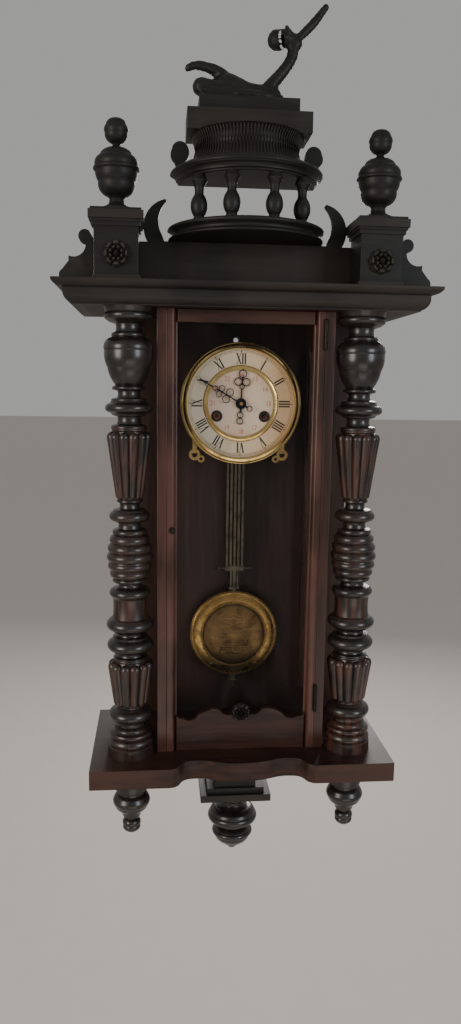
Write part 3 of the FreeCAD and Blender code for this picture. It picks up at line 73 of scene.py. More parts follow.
# %% Dial and bob centres
ring_low, ring_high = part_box("chapter_ring")
dial_x = (ring_low[0] + ring_high[0]) / 2
dial_z = (ring_low[2] + ring_high[2]) / 2
dial_face = ring_low[1]
dial_reach = (ring_high[0] - ring_low[0]) / 2
bob_low, bob_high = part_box("pendulum_bob")
bob_z = (bob_low[2] + bob_high[2]) / 2
bob_face = bob_low[1]
bob_reach = (bob_high[0] - bob_low[0]) / 2
print("dial centre", round(dial_z, 4), "bob centre", round(bob_z, 4))

# %% [markdown]
# ## Shader maths as Python
# A finish is a small program over the surface. One class wraps a node socket so that
# ordinary operators add Math nodes, and one method makes any other node.

# %% The socket class
class Wire:
    """One output socket, used like a number."""

    def __init__(self, finish, socket):
        self.finish = finish
        self.socket = socket

    def math(self, operation, *others):
        return self.finish.node("Math", {"operation": operation}, self, *others)

    def __add__(self, other):
        return self.math("ADD", other)

    def __sub__(self, other):
        return self.math("SUBTRACT", other)

    def __mul__(self, other):
        return self.math("MULTIPLY", other)

    def __rsub__(self, other):
        return self.finish.node("Math", {"operation": "SUBTRACT"}, other, self)

    __radd__ = __add__
    __rmul__ = __mul__

    def power(self, other):
        return self.math("POWER", other)

    def smooth(self, low, high):
        """Nought below low, one above high, and smooth between."""
        return self.finish.node("MapRange", {"interpolation_type": "SMOOTHSTEP"}, self, low, high)


class Finish:
    """One material, with the constants set on its shader and the rest linked to it."""

    def __init__(self, name, **constants):
        self.material = bpy.data.materials.new(name)
        self.material.use_nodes = True
        self.tree = self.material.node_tree
        self.shader = self.tree.nodes["Principled BSDF"]
        for key, value in constants.items():
            self.shader.inputs[key.replace("_", " ")].default_value = value

    def put(self, socket, value):
        if isinstance(value, Wire):
            self.tree.links.new(value.socket, socket)
        else:
            socket.default_value = value

    def node(self, kind, settings, *values, output=0, **named):
        made = self.tree.nodes.new("ShaderNode" + kind)
        for key, value in settings.items():
            setattr(made, key, value)
        for index, value in enumerate(values):
            self.put(made.inputs[index], value)
        for key, value in named.items():
            self.put(made.inputs[key.replace("_", " ")], value)
        return Wire(self, made.outputs[output])

    def place(self):
        return self.node("TexCoord", {}, output="Object")

    def axes(self):
        split = self.node("SeparateXYZ", {}, self.place()).socket.node
        return [Wire(self, socket) for socket in split.outputs]

    def stretched(self, scale, turn=(0, 0, 0)):
        return self.node("Mapping", {}, self.place(), Rotation=turn, Scale=scale)

    def grain(self, where, scale, detail=4.0, rough=0.6, warp=0.0):
        return self.node("TexNoise", {}, Vector=where, Scale=scale, Detail=detail, Roughness=rough,
                         Distortion=warp)

    def blend(self, mask, first, second, mode="MIX"):
        made = self.tree.nodes.new("ShaderNodeMix")
        made.data_type = "RGBA"
        made.blend_type = mode
        self.put(made.inputs["Factor"], mask)
        self.put(made.inputs[6], first)
        self.put(made.inputs[7], second)
        return Wire(self, made.outputs[2])

    def bump(self, height, distance, strength=1.0):
        return self.node("Bump", {}, Height=height, Distance=distance, Strength=strength)

    def link(self, **parts):
        for key, value in parts.items():
            self.put(self.shader.inputs[key.replace("_", " ")], value)
        return self.material


def rgb(red, green, blue):
    return (red, green, blue, 1.0)


print("shader helpers ready")

# %% [markdown]
# ## Stained and varnished wood
# The case is cheap timber stained to look like ebony and walnut, under old shellac. Long
# streaks along the grain carry the colour, fine pores break the shine, and corners that
# hands have rubbed show the redder stain below. One function makes each wood, with the
# grain turned to run along the board.

# %% Wood finishes
ALONG_X, ALONG_Z = (5, 70, 70), (70, 70, 5)


def wood(name, dark, light, worn, grain, shine, wear=0.35, coat=0.25, dust=0.0):
    finish = Finish(name, Specular_IOR_Level=0.34, Coat_Roughness=0.2, IOR=1.45)
    where = finish.stretched(grain)
    streak = finish.grain(where, 1.6, 6.0, 0.62, 0.7)
    pore = finish.grain(finish.stretched(tuple(4 * value for value in grain)), 3.2, 3.0, 0.7)
    cloud = finish.grain(finish.place(), 9.0, 3.0, 0.55)
    edge = finish.node("NewGeometry", {}, output="Pointiness").smooth(0.515, 0.60)
    colour = finish.blend(streak.smooth(0.36, 0.66), dark, light)
    colour = finish.blend(cloud.smooth(0.35, 0.75) * 0.5, colour, dark)
    colour = finish.blend(edge * cloud.smooth(0.3, 0.6) * wear, colour, worn)
    colour = finish.blend(pore.smooth(0.62, 0.8) * 0.45, colour, tuple(0.35 * c for c in dark[:3]) + (1.0,))
    if dust:
        up = finish.node("SeparateXYZ", {}, finish.node("NewGeometry", {}, output="Normal"), output=2)
        grey = up.smooth(0.55, 0.95) * cloud.smooth(0.25, 0.6) * dust
        colour = finish.blend(grey, colour, rgb(0.16, 0.14, 0.12))
    rough = shine + cloud * 0.16 + pore.smooth(0.55, 0.8) * 0.14
    height = streak * 0.35 + pore * 0.65
    return finish.link(Base_Color=colour, Roughness=rough, Coat_Weight=(1 - pore.smooth(0.6, 0.8)) * coat,
                       Normal=finish.bump(height, 0.00022, 0.5))


BLACK, BROWN_BLACK = rgb(0.0075, 0.0068, 0.0062), rgb(0.022, 0.015, 0.012)
RED_BROWN = rgb(0.060, 0.018, 0.011)
WALNUT, BRIGHT_WALNUT = rgb(0.017, 0.0068, 0.0052), rgb(0.048, 0.018, 0.012)
crest_black = wood("dull_ebonised", BLACK, rgb(0.0135, 0.0135, 0.0115), rgb(0.045, 0.034, 0.024), ALONG_X,
                   shine=0.44, wear=0.4, coat=0.05, dust=0.07)
dusty_black = wood("dusty_ebonised", rgb(0.014, 0.013, 0.011), rgb(0.030, 0.027, 0.022),
                   rgb(0.10, 0.08, 0.06), ALONG_X, shine=0.5, wear=0.7, coat=0.03, dust=0.5)
walnut_up = wood("walnut_upright", WALNUT, BRIGHT_WALNUT, rgb(0.13, 0.055, 0.040), ALONG_Z,
                 shine=0.30, wear=0.6, coat=0.15)
walnut_across = wood("walnut_across", rgb(0.012, 0.0055, 0.0045), rgb(0.040, 0.0145, 0.0095),
                     rgb(0.10, 0.042, 0.026), ALONG_X, shine=0.42, wear=0.6, coat=0.05)
panel_dark = wood("panel_dark", rgb(0.012, 0.0052, 0.0038), rgb(0.032, 0.0135, 0.0088), RED_BROWN, ALONG_Z,
                  shine=0.48, wear=0.3, coat=0.03)
print("woods:", [m.name for m in (crest_black, dusty_black, walnut_up, walnut_across, panel_dark)])

# %% [markdown]
# ## The turned columns
# On the columns the black stain has rubbed through to red-brown on the reeds and on the
# plain drum, because those are the parts that get dusted. Height masks pick out these
# bands, and the black polish stays glossy everywhere else.

# %% Column finish
def column_wood(name, bands, red):
    finish = Finish(name, Specular_IOR_Level=0.5, Coat_Roughness=0.20, IOR=1.48)
    x, y, z = finish.axes()
    streak = finish.grain(finish.stretched((85, 85, 7)), 1.7, 5.0, 0.6, 0.5)
    cloud = finish.grain(finish.place(), 22.0, 4.0, 0.6)
    edge = finish.node("NewGeometry", {}, output="Pointiness").smooth(0.515, 0.60)
    mask = streak * 0
    for low, high, amount in bands:
        inside = z.smooth(dial_z + (low - 6) * MM, dial_z + (low + 6) * MM)
        below = 1 - z.smooth(dial_z + (high - 6) * MM, dial_z + (high + 6) * MM)
        mask = mask + inside * below * amount
    rubbed = mask * streak.smooth(0.40, 0.62) + edge * cloud.smooth(0.42, 0.62) * 0.35
    colour = finish.blend(streak.smooth(0.35, 0.7), BLACK, BROWN_BLACK)
    colour = finish.blend(rubbed.math("MINIMUM", 1.0), colour, red)
    rough = 0.24 + cloud * 0.16 + rubbed * 0.08
    height = streak * 0.6 + cloud * 0.4
    return finish.link(Base_Color=colour, Roughness=rough, Coat_Weight=0.22 + cloud * 0.15,
                       Normal=finish.bump(height, 0.00018, 0.4))


REED_BANDS = [(-124, -30, 0.75), (-286, -256, 0.75), (-408, -340, 0.7), (-232, -140, 0.3), (-474, -430, 0.35)]
column_left_wood = column_wood("column_polish_left", REED_BANDS, rgb(0.062, 0.019, 0.012))
RIGHT_BANDS = REED_BANDS[:4] + [(-474, -420, 0.8)]
column_right_wood = column_wood("column_polish_right", RIGHT_BANDS, rgb(0.075, 0.025, 0.015))
turned_black = column_wood("turned_polish", [], rgb(0.06, 0.022, 0.014))
print("column bands", len(REED_BANDS))

# %% [markdown]
# ## Metals
# The brass is thin lacquered sheet gone brown in patches. Steel parts are plain, and the
# hands are blued almost black. Cloudy noise darkens the colour and dulls the shine.

# %% Metal finishes
def metal(name, bright, tarnished, shine, scale, patch=0.5, scratch=0.10):
    finish = Finish(name, Metallic=1.0)
    cloud = finish.grain(finish.place(), scale, 5.0, 0.62, 0.4)
    speck = finish.grain(finish.place(), scale * 14, 3.0, 0.6)
    line = finish.grain(finish.stretched((900, 900, 40)), 1.0, 2.0)
    stain = cloud.smooth(0.42, 0.68) * patch + speck.smooth(0.6, 0.75) * 0.25
    colour = finish.blend(stain.math("MINIMUM", 1.0), bright, tarnished)
    rough = shine + stain * 0.30 + line * scratch
    height = line * 0.4 + speck * 0.6
    return finish.link(Base_Color=colour, Roughness=rough, Normal=finish.bump(height, 0.00006, 0.4))


brass = metal("aged_brass", rgb(0.62, 0.44, 0.17), rgb(0.22, 0.13, 0.05), 0.20, 55)
dull_brass = metal("dull_brass", rgb(0.40, 0.26, 0.10), rgb(0.14, 0.08, 0.035), 0.34, 40, 0.7)
steel = metal("plain_steel", rgb(0.42, 0.42, 0.43), rgb(0.16, 0.14, 0.13), 0.28, 60)
blued = metal("blued_steel", rgb(0.016, 0.018, 0.028), rgb(0.03, 0.022, 0.02), 0.24, 120)
grid_metal = metal("pendulum_strips", rgb(0.125, 0.105, 0.075), rgb(0.05, 0.04, 0.028), 0.42, 70, 0.6)
dark_metal = metal("blackened_iron", rgb(0.030, 0.026, 0.022), rgb(0.016, 0.012, 0.010), 0.40, 90)
print("metals ready")

# %% [markdown]
# ## Bezels
# The rim round the dial and the ring inside it are lacquered brass, browner in cloudy patches.
# The two eyelets round the winding squares are black, so the same
# finish darkens within a circle round each.

# %% Bezel finish
WINDER_X, WINDER_DROP, EYELET = 32.8 * MM, 17.3 * MM, 8.4 * MM


def bezel_finish():
    finish = Finish("bezel_brass")
    x, y, z = finish.axes()
    cloud = finish.grain(finish.place(), 48, 5.0, 0.6, 0.3)
    sideways = x.math("ABSOLUTE") - WINDER_X
    down = z - (dial_z - WINDER_DROP)
    away = (sideways * sideways + down * down).power(0.5)
    black = 1 - away.smooth(EYELET - 0.4 * MM, EYELET)
    stain = cloud.smooth(0.45, 0.7) * 0.55
    colour = finish.blend(stain, rgb(0.72, 0.52, 0.20), rgb(0.30, 0.18, 0.07))
    colour = finish.blend(black, colour, rgb(0.012, 0.012, 0.012))
    return finish.link(Base_Color=colour, Metallic=1 - black * 0.6,
                       Roughness=0.16 + stain * 0.32 + black * 0.2,
                       Normal=finish.bump(cloud, 0.0001, 0.25))


bezel_brass = bezel_finish()
print("bezel finish ready")

# %% [markdown]
# ## Enamel
# The dial is printed on cream enamelled card and tin that has yellowed unevenly, more on
# the right. Fine stains and specks mark it, and each part darkens towards its edges.

# %% Enamel finishes
RING_INNER, CENTRE_OUTER, NO_INNER_RIM = 50 * MM, 46 * MM, -10 * MM


def enamel(name, pale, warm, darkening_colour, inner, outer):
    finish = Finish(name, Specular_IOR_Level=0.5)
    x, y, z = finish.axes()
    cloud = finish.grain(finish.place(), 26, 5.0, 0.6, 0.5)
    speck = finish.grain(finish.place(), 420, 2.0, 0.7)
    rise = z - dial_z
    away = (x * x + rise * rise).power(0.5)
    # Darker bands just inside the outer edge and just outside the inner edge.
    rim = away.smooth(outer - 7 * MM, outer) + (1 - away.smooth(inner, inner + 5 * MM))
    right = (x + cloud * 0.05).smooth(-0.030, 0.085)
    colour = finish.blend(right * 0.85, pale, warm)
    colour = finish.blend(cloud.smooth(0.5, 0.72) * 0.30 + rim * 0.22, colour, darkening_colour)
    colour = finish.blend(speck.smooth(0.66, 0.76) * 0.35, colour, darkening_colour)
    return finish.link(Base_Color=colour, Roughness=0.30 + cloud * 0.22,
                       Normal=finish.bump(cloud * 0.7 + speck * 0.3, 0.00012, 0.3))


ring_enamel = enamel("ring_enamel", rgb(0.60, 0.53, 0.40), rgb(0.60, 0.40, 0.22), rgb(0.34, 0.21, 0.10),
                     RING_INNER, dial_reach)
centre_enamel = enamel("centre_enamel", rgb(0.58, 0.44, 0.35), rgb(0.66, 0.52, 0.36), rgb(0.40, 0.22, 0.12),
                       NO_INNER_RIM, CENTRE_OUTER)
ink = Finish("black_ink_and_keyhole_shade", Specular_IOR_Level=0.3)
ink_wear = ink.grain(ink.place(), 300).smooth(0.6, 0.75) * 0.5
ink.link(Base_Color=ink.blend(ink_wear, rgb(0.012, 0.011, 0.010), rgb(0.10, 0.08, 0.05)),
         Roughness=0.4 + ink.grain(ink.place(), 200) * 0.2)
red_ink = Finish("red_ink", Specular_IOR_Level=0.3)
red_wear = red_ink.grain(red_ink.place(), 260).smooth(0.45, 0.7) * 0.7
red_ink.link(Base_Color=red_ink.blend(red_wear, rgb(0.36, 0.070, 0.045), rgb(0.50, 0.20, 0.13)),
             Roughness=0.45 + red_ink.grain(red_ink.place(), 200) * 0.2)
print("enamels ready")

# %% [markdown]
# ## Old glass
# Thin glass shows almost nothing but its reflections and a film of dust, so it is a clear
# sheet whose coverage rises a little in smudges and specks of dust.

# %% Glass finish
def glass_finish(name):
    finish = Finish(name, Base_Color=rgb(0.30, 0.31, 0.29), Specular_IOR_Level=0.5, IOR=1.45)
    smear = finish.grain(finish.stretched((14, 14, 5)), 1.4, 5.0, 0.6, 1.2)
    dust = finish.grain(finish.place(), 500, 2.0, 0.6)
    cover = 0.006 + smear.smooth(0.5, 0.8) * 0.014 + dust.smooth(0.68, 0.76) * 0.02
    return finish.link(Alpha=cover, Roughness=0.05 + smear * 0.06)


clear_glass = glass_finish("old_glass")
print("glass ready")

# %% [markdown]
# ## The bob
# The pendulum bob is a stamped brass shell. Its rim is plain with small rivets, and the
# middle is a browner medallion.

# %% Bob finishes
def bob_finish():
    finish = Finish("bob_brass", Metallic=1.0)
    x, y, z = finish.axes()
    cloud = finish.grain(finish.place(), 60, 5.0, 0.62, 0.5)
    line = finish.grain(finish.stretched((30, 30, 900)), 1.0, 3.0)
    rise = z - bob_z
    away = (x * x + rise * rise).power(0.5)
    middle = 1 - away.smooth(bob_reach * 0.70, bob_reach * 0.74)
    groove = middle * away.smooth(bob_reach * 0.66, bob_reach * 0.70)
    stain = cloud.smooth(0.40, 0.68) * 0.6 + line.smooth(0.52, 0.7) * 0.25
    rim = finish.blend(stain, rgb(0.36, 0.225, 0.075), rgb(0.15, 0.085, 0.032))
    inner = finish.blend(stain, rgb(0.17, 0.105, 0.045), rgb(0.065, 0.040, 0.021))
    colour = finish.blend(middle, rim, inner)
    colour = finish.blend(groove * 0.8, colour, rgb(0.03, 0.02, 0.012))
    return finish.link(Base_Color=colour, Roughness=0.26 + stain * 0.22 + middle * 0.10,
                       Normal=finish.bump(line * 0.6 + cloud * 0.4, 0.00014, 0.4))


bob_brass = bob_finish()
print("bob finish ready")

# %% [markdown]
# ## Dressing the solids
# Each solid keeps its shape and gets its finish. Square boards also get a small worn round
# on their edges.

# %% Finishes on the solids
FINISHES = {
    crest_black: ["crest_board", "gallery_base", "gallery_canopy", "crest_dome", "crest_plinth", "pedestals",
                  "fret_scrolls", "finials", "cornice", "gallery_balusters", "crest_figure",
                  "pendant_block"],
    dusty_black: ["pedestal_rosettes"],
    turned_black: ["side_pendants", "centre_pendant", "door_rosette"],
    column_left_wood: ["column_left"],
    column_right_wood: ["column_right"],
    walnut_up: ["side_frame_left", "side_frame_right", "door_stile_left", "door_stile_right"],
    walnut_across: ["base_shelf", "door_bottom_rail", "door_top_rail"],
    panel_dark: ["back_board", "top_board"],
    clear_glass: ["door_glass", "side_glasses"],
    bezel_brass: ["dial_bezels"],
    ring_enamel: ["chapter_ring"],
    centre_enamel: ["dial_centre"],
    bob_brass: ["pendulum_bob"],
    grid_metal: ["pendulum_rod"],
    blued: ["hour_hand", "minute_hand"],
    brass: ["movement_bracket", "rating_nut", "dial_pan"],
    dull_brass: ["front_plate", "back_plate", "going_barrel", "strike_barrel", "intermediate_wheel",
                 "centre_arbor", "third_wheel", "escape_wheel", "minute_wheel", "hour_wheel"],
    steel: ["hanger_plate", "gong", "lock_bolt", "anchor", "hammer", "suspension_spring"],
    dark_metal: ["case_hinge_leaves", "door_hinge_leaves", "door_lock", "going_winding_arbor",
                 "strike_winding_arbor"],
}
dressed = 0
for finish, names in FINISHES.items():
    for name in names:
        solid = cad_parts[name]
        solid.data.materials.clear()
        solid.data.materials.append(finish)
        dressed += 1
print("dressed", dressed, "of", len(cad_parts), "solids")

# %% [markdown]
# ## Rounded edges
# No board has a knife edge. Each gets a half-millimetre bevel as a modifier, which leaves
# its own mesh as it was.

# %% Bevels
BOARDS = ["side_frame_left", "side_frame_right", "top_board", "base_shelf", "pedestals", "crest_plinth",
          "crest_board", "fret_scrolls", "door_bottom_rail", "door_top_rail", "pendant_block", "back_board"]


WORN_EDGE = 0.6 * MM


def soften(solid, width, angle=40):
    weld = solid.modifiers.new("weld", "WELD")
    weld.merge_threshold = 0.00001
    bevel = solid.modifiers.new("worn_edge", "BEVEL")
    bevel.width = width
    bevel.segments = 2
    bevel.limit_method = "ANGLE"
    bevel.angle_limit = math.radians(angle)
    bevel.use_clamp_overlap = True
    bevel.harden_normals = False


for name in BOARDS:
    soften(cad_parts[name], WORN_EDGE)
print("softened", len(BOARDS), "boards")

# %% [markdown]
# ## Making pieces
# Small pieces are built as mesh data. One helper makes the object, gives it a finish and
# says which body it rides on.

# %% Piece helper
def piece(name, verts, faces, finish, body, smooth=False, replaces=()):
    mesh = bpy.data.meshes.new(name)
    mesh.from_pydata([tuple(v) for v in verts], [], faces)
    mesh.validate()
    build = bmesh.new()
    build.from_mesh(mesh)
    bmesh.ops.recalc_face_normals(build, faces=build.faces)
    build.to_mesh(mesh)
    build.free()
    mesh.polygons.foreach_set("use_smooth", [smooth] * len(mesh.polygons))
    made = bpy.data.objects.new(name, mesh)
    bpy.context.scene.collection.objects.link(made)
    mesh.materials.append(finish)
    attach(made, body)
    if replaces:
        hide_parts(*replaces)
    return made


def band(first, steps):
    """The faces between a ring of corners and the ring that follows it."""
    return [(first + i, first + (i + 1) % steps, first + steps + (i + 1) % steps, first + steps + i)
            for i in range(steps)]


class Heap:
    """Collects the corners and faces of many small shapes for one piece."""

    def __init__(self):
        self.verts = []
        self.faces = []

    def add(self, verts, faces):
        first = len(self.verts)
        self.verts += verts
        self.faces += [tuple(first + index for index in face) for face in faces]

    def prism(self, corners, front, back):
        """A flat shape in the XZ plane, given thickness along Y."""
        count = len(corners)
        verts = [(x, front, z) for x, z in corners] + [(x, back, z) for x, z in corners]
        faces = [tuple(range(count)), tuple(range(2 * count - 1, count - 1, -1))]
        faces += [(i, (i + 1) % count, count + (i + 1) % count, count + i) for i in range(count)]
        self.add(verts, faces)


print("piece helpers ready")

# %% [markdown]
# ## Roman numerals
# The hours are printed radially, feet to the centre, with thick and thin strokes. Each
# numeral is laid out flat from I, V and X, then turned to its hour. They are a tenth of a
# millimetre thick, like ink.

# %% Numerals
INK = 0.12 * MM
NUMERAL_LOW, NUMERAL_TALL = 53.2 * MM, 14.6 * MM
THICK, THIN, SERIF = 1.95 * MM, 0.7 * MM, 0.5 * MM
WIDTHS = {"I": 3.5 * MM, "V": 7.2 * MM, "X": 7.2 * MM}
HOURS = ["XII", "I", "II", "III", "IIII", "V", "VI", "VII", "VIII", "IX", "X", "XI"]


def slanted(x0, x1, width):
    """A stroke from foot x0 to head x1."""
    half = width / 2
    return [(x0 - half, 0), (x0 + half, 0), (x1 + half, NUMERAL_TALL), (x1 - half, NUMERAL_TALL)]


def serif(x, level, reach):
    return [(x - reach, level), (x + reach, level), (x + reach, level + SERIF), (x - reach, level + SERIF)]


def letter(kind, x):
    wide = WIDTHS[kind]
    left, right = x - wide / 2 + THICK / 2, x + wide / 2 - THICK / 2
    top = NUMERAL_TALL - SERIF
    if kind == "I":
        return [slanted(x, x, THICK), serif(x, 0, THICK * 0.85), serif(x, top, THICK * 0.85)]
    if kind == "V":
        strokes = [slanted(x, left, THICK), slanted(x, right, THIN)]
        return strokes + [serif(left, top, THICK * 0.8), serif(right, top, THICK * 0.7)]
    strokes = [slanted(right, left, THICK), slanted(left, right, THIN)]
    return strokes + [serif(side, level, THICK * 0.75) for side in (left, right) for level in (0, top)]


numerals = Heap()
for hour, text in enumerate(HOURS):
    turn = -hour * math.pi / 6
    squeeze = min(1.0, 16.5 * MM / sum(WIDTHS[k] for k in text))
    pen = -sum(WIDTHS[k] for k in text) / 2
    for kind in text:
        for stroke in letter(kind, pen + WIDTHS[kind] / 2):
            corners = []
            for across, up in stroke:
                x, z = across * squeeze, up + NUMERAL_LOW
                corners.append((dial_x + x * math.cos(turn) - z * math.sin(turn),
                                dial_z + x * math.sin(turn) + z * math.cos(turn)))
            numerals.prism(corners, dial_face - INK, dial_face)
        pen += WIDTHS[kind]
piece("hour_numerals", numerals.verts, numerals.faces, ink.material, "case")
print("numerals use", len(numerals.faces), "faces")

# %% [markdown]
# ## Minute track
# Two hairlines run round the ring with a tick for each minute between them, and a heavier
# mark at each five. The rings are thin bands, cut into short straight pieces.

# %% Minute track
TRACK_IN, TRACK_OUT, HAIR = 69.4 * MM, 71.6 * MM, 0.28 * MM
HEAVY_HALF, LIGHT_HALF, HEAVY_EXTRA = 0.5 * MM, 0.16 * MM, 0.9 * MM


def circle_band(heap, inner, outer, front, back, steps=120):
    """A flat ring given thickness along Y."""
    verts = []
    for level in (front, back):
        for radius in (inner, outer):
            for i in range(steps):
                angle = 2 * math.pi * i / steps
                verts.append((dial_x + radius * math.cos(angle), level, dial_z + radius * math.sin(angle)))
    faces = []
    for i in range(steps):
        j = (i + 1) % steps
        a, b, c, d = i, j, steps + j, steps + i
        below = 2 * steps
        faces += [(a, b, c, d), (below + d, below + c, below + b, below + a), (d, c, below + c, below + d),
                  (b, a, below + a, below + b)]
    heap.add(verts, faces)


def tick(heap, angle, low, high, width):
    side = (math.cos(angle), math.sin(angle))
    out = (-side[1], side[0])
    corners = [(dial_x + out[0] * r + side[0] * w, dial_z + out[1] * r + side[1] * w)
               for r, w in ((low, -width), (low, width), (high, width), (high, -width))]
    heap.prism(corners, dial_face - INK, dial_face)


track = Heap()
for radius in (TRACK_IN, TRACK_OUT):
    circle_band(track, radius, radius + HAIR, dial_face - INK, dial_face)
for minute in range(60):
    angle = -minute * math.pi / 30
    heavy = minute % 5 == 0
    low = TRACK_IN - (HEAVY_EXTRA if heavy else 0)
    tick(track, angle, low, TRACK_OUT, HEAVY_HALF if heavy else LIGHT_HALF)
piece("minute_track", track.verts, track.faces, ink.material, "case")
print("track has", len(track.faces), "faces")

# %% [markdown]
# ## The afternoon hours
# Small red numbers from 13 to 24 stand upright on the centre, one inside each hour. They
# are text turned into mesh, so nothing depends on a font later.

# %% Red numbers
RED_RADIUS, RED_TALL = 38.4 * MM, 9.4 * MM
centre_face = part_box("dial_centre")[0][1]
reds = Heap()
for hour in range(12):
    text = bpy.data.curves.new("red_text", "FONT")
    text.body = str(24 if hour == 0 else 12 + hour)
    text.size = RED_TALL
    text.extrude = INK / 2
    text.align_x = "CENTER"
    text.align_y = "CENTER"
    holder = bpy.data.objects.new("red_text", text)
    flat = bpy.data.meshes.new_from_object(holder)
    angle = hour * math.pi / 6
    x0, z0 = dial_x + RED_RADIUS * math.sin(angle), dial_z + RED_RADIUS * math.cos(angle)
    verts = [(x0 + v.co.x * 0.82, centre_face - INK / 2 - v.co.z, z0 + v.co.y) for v in flat.vertices]
    reds.add(verts, [tuple(p.vertices) for p in flat.polygons])
    bpy.data.objects.remove(holder)
    bpy.data.curves.remove(text)
    bpy.data.meshes.remove(flat)
piece("red_numbers", reds.verts, reds.faces, red_ink.material, "case")
print("red numbers use", len(reds.faces), "faces")

# %% [markdown]
# ## Carved rosettes
# A rosette is a shallow flower cut into a round block. A height formula over a polar grid
# gives two rings of petals round a button, which reads as carving from any side.

# %% Rosettes
def flower_height(radius, angle, petals):
    """Height of the carving at a share of the radius, from nought to one."""
    outer = abs(math.cos(petals * angle / 2)) ** 0.7
    inner = abs(math.sin(petals * angle / 2)) ** 0.7
    ring_out = math.exp(-((radius - 0.78) / 0.20) ** 2) * (0.35 + 0.65 * outer)
    ring_in = math.exp(-((radius - 0.46) / 0.15) ** 2) * (0.3 + 0.85 * inner)
    button = math.exp(-(radius / 0.22) ** 4) * (1.1 + 0.12 * math.cos(petals * angle))
    vein = 0.10 * math.cos(petals * angle) ** 8 * math.exp(-((radius - 0.78) / 0.15) ** 2)
    return max(ring_out, ring_in, button) - vein


def rosette(name, centre, radius, depth, finish, body, node, petals=8):
    heap = Heap()
    for x, back, z in centre:
        rings, steps = 26, 96
        verts = [(x, back - depth * flower_height(0, 0, petals), z)]
        for ring in range(1, rings + 1):
            share = ring / rings
            for i in range(steps):
                angle = 2 * math.pi * i / steps
                reach = radius * share * (1 - 0.10 * share ** 3 * (1 - abs(math.cos(petals * angle / 2))))
                height = depth * max(flower_height(share, angle, petals), 0.12)
                verts.append((x + reach * math.cos(angle), back - height, z + reach * math.sin(angle)))
        last = 1 + (rings - 1) * steps
        verts += [(v[0], back, v[2]) for v in verts[last:last + steps]]
        faces = [(0, 1 + (i + 1) % steps, 1 + i) for i in range(steps)]
        for ring in range(rings):
            faces += band(1 + ring * steps, steps)
        faces.append(tuple(last + steps + i for i in range(steps)))
        heap.add(verts, faces)
    return piece(name, heap.verts, heap.faces, finish, body, True, [node])


PEDESTAL_BLOCK, PEDESTAL_ROSE, PEDESTAL_DEPTH = 15.4 * MM, 15.8 * MM, 8.6 * MM
DOOR_ROSE, DOOR_DEPTH = 13 * MM, 7.6 * MM
low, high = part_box("pedestal_rosettes")
rose_z = (low[2] + high[2]) / 2
rose_x = high[0] - PEDESTAL_BLOCK
rosette("carved_pedestal_roses", [(-rose_x, high[1], rose_z), (rose_x, high[1], rose_z)], PEDESTAL_ROSE,
        PEDESTAL_DEPTH, dusty_black, "case", "pedestal_rosettes")
low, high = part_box("door_rosette")
rosette("carved_door_rose", [((low[0] + high[0]) / 2, high[1], (low[2] + high[2]) / 2)], DOOR_ROSE,
        DOOR_DEPTH, turned_black, "door", "door_rosette")
print("rosettes at", round(rose_x, 4), round(rose_z, 4))

# %% [markdown]
# ## The carved beast
# The crest figure is one carving. Its solid is a set of rounded limbs, so a copy is turned
# into one skin of small even cells, smoothed so that the limbs flow together, and then
# cut with shallow strokes that follow the body, as a gouge leaves them.

# %% Carve the figure
def carve(name, node, finish, body, cell, depth):
    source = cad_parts[node]
    mesh = source.data.copy()
    made = bpy.data.objects.new(name, mesh)
    bpy.context.scene.collection.objects.link(made)
    weld = made.modifiers.new("weld", "WELD")
    weld.merge_threshold = 0.00002
    skin = made.modifiers.new("skin", "REMESH")
    skin.mode = "VOXEL"
    skin.voxel_size = cell
    relax = made.modifiers.new("relax", "SMOOTH")
    relax.factor = 0.5
    relax.iterations = 7
    evaluated = made.evaluated_get(bpy.context.evaluated_depsgraph_get())
    carved = bpy.data.meshes.new_from_object(evaluated)
    made.modifiers.clear()
    made.data = carved
    normals = [v.normal.copy() for v in carved.vertices]
    floor = min(v.co.z for v in carved.vertices)
    for vertex, normal in zip(carved.vertices, normals):
        at = vertex.co
        stroke = math.sin((at.x * 0.55 + at.z) * 900 + 5 * noise.noise(at * 60)) * 0.5
        rough = noise.noise(at * 220)
        rise = min(1.0, (at.z - floor) / 0.004)
        vertex.co = at + normal * depth * rise * (stroke * 0.6 + rough * 0.6 - 0.3)
    carved.materials.clear()
    carved.materials.append(finish)
    carved.polygons.foreach_set("use_smooth", [True] * len(carved.polygons))
    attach(made, body)
    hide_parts(node)
    return made


beast = carve("carved_beast", "crest_figure", crest_black, "case", 1.6 * MM, 0.55 * MM)
print("beast has", len(beast.data.polygons), "faces")

# %% [markdown]
# ## The bob's medallion
# The middle of the bob is stamped with a worn scene of level lines either side of an
# upright band. A fine round grid is raised by a formula, so the lines catch the light.

# %% Medallion relief
def relief(x, z, reach):
    """Stamped height at a point of the medallion, in millimetres."""
    away = math.hypot(x, z) / reach
    fade = max(0.0, 1 - away ** 6)
    band = math.exp(-((x / reach) / 0.16) ** 2)
    wave = math.sin(z * 1.55 + 0.9 * math.sin(x * 0.16)) * (1 - band)
    patch = 0.5 + 0.5 * noise.noise(Vector((x * 0.09, z * 0.09, 3.0)))
    stem = band * (0.55 + 0.25 * math.cos(z * 0.7)) * (1 if z > -reach * 0.8 else 0)
    worn = noise.noise(Vector((x * 0.3, z * 0.3, 7.0))) * 0.22
    return fade * (0.30 * wave * patch + 0.35 * stem + worn) + 0.35


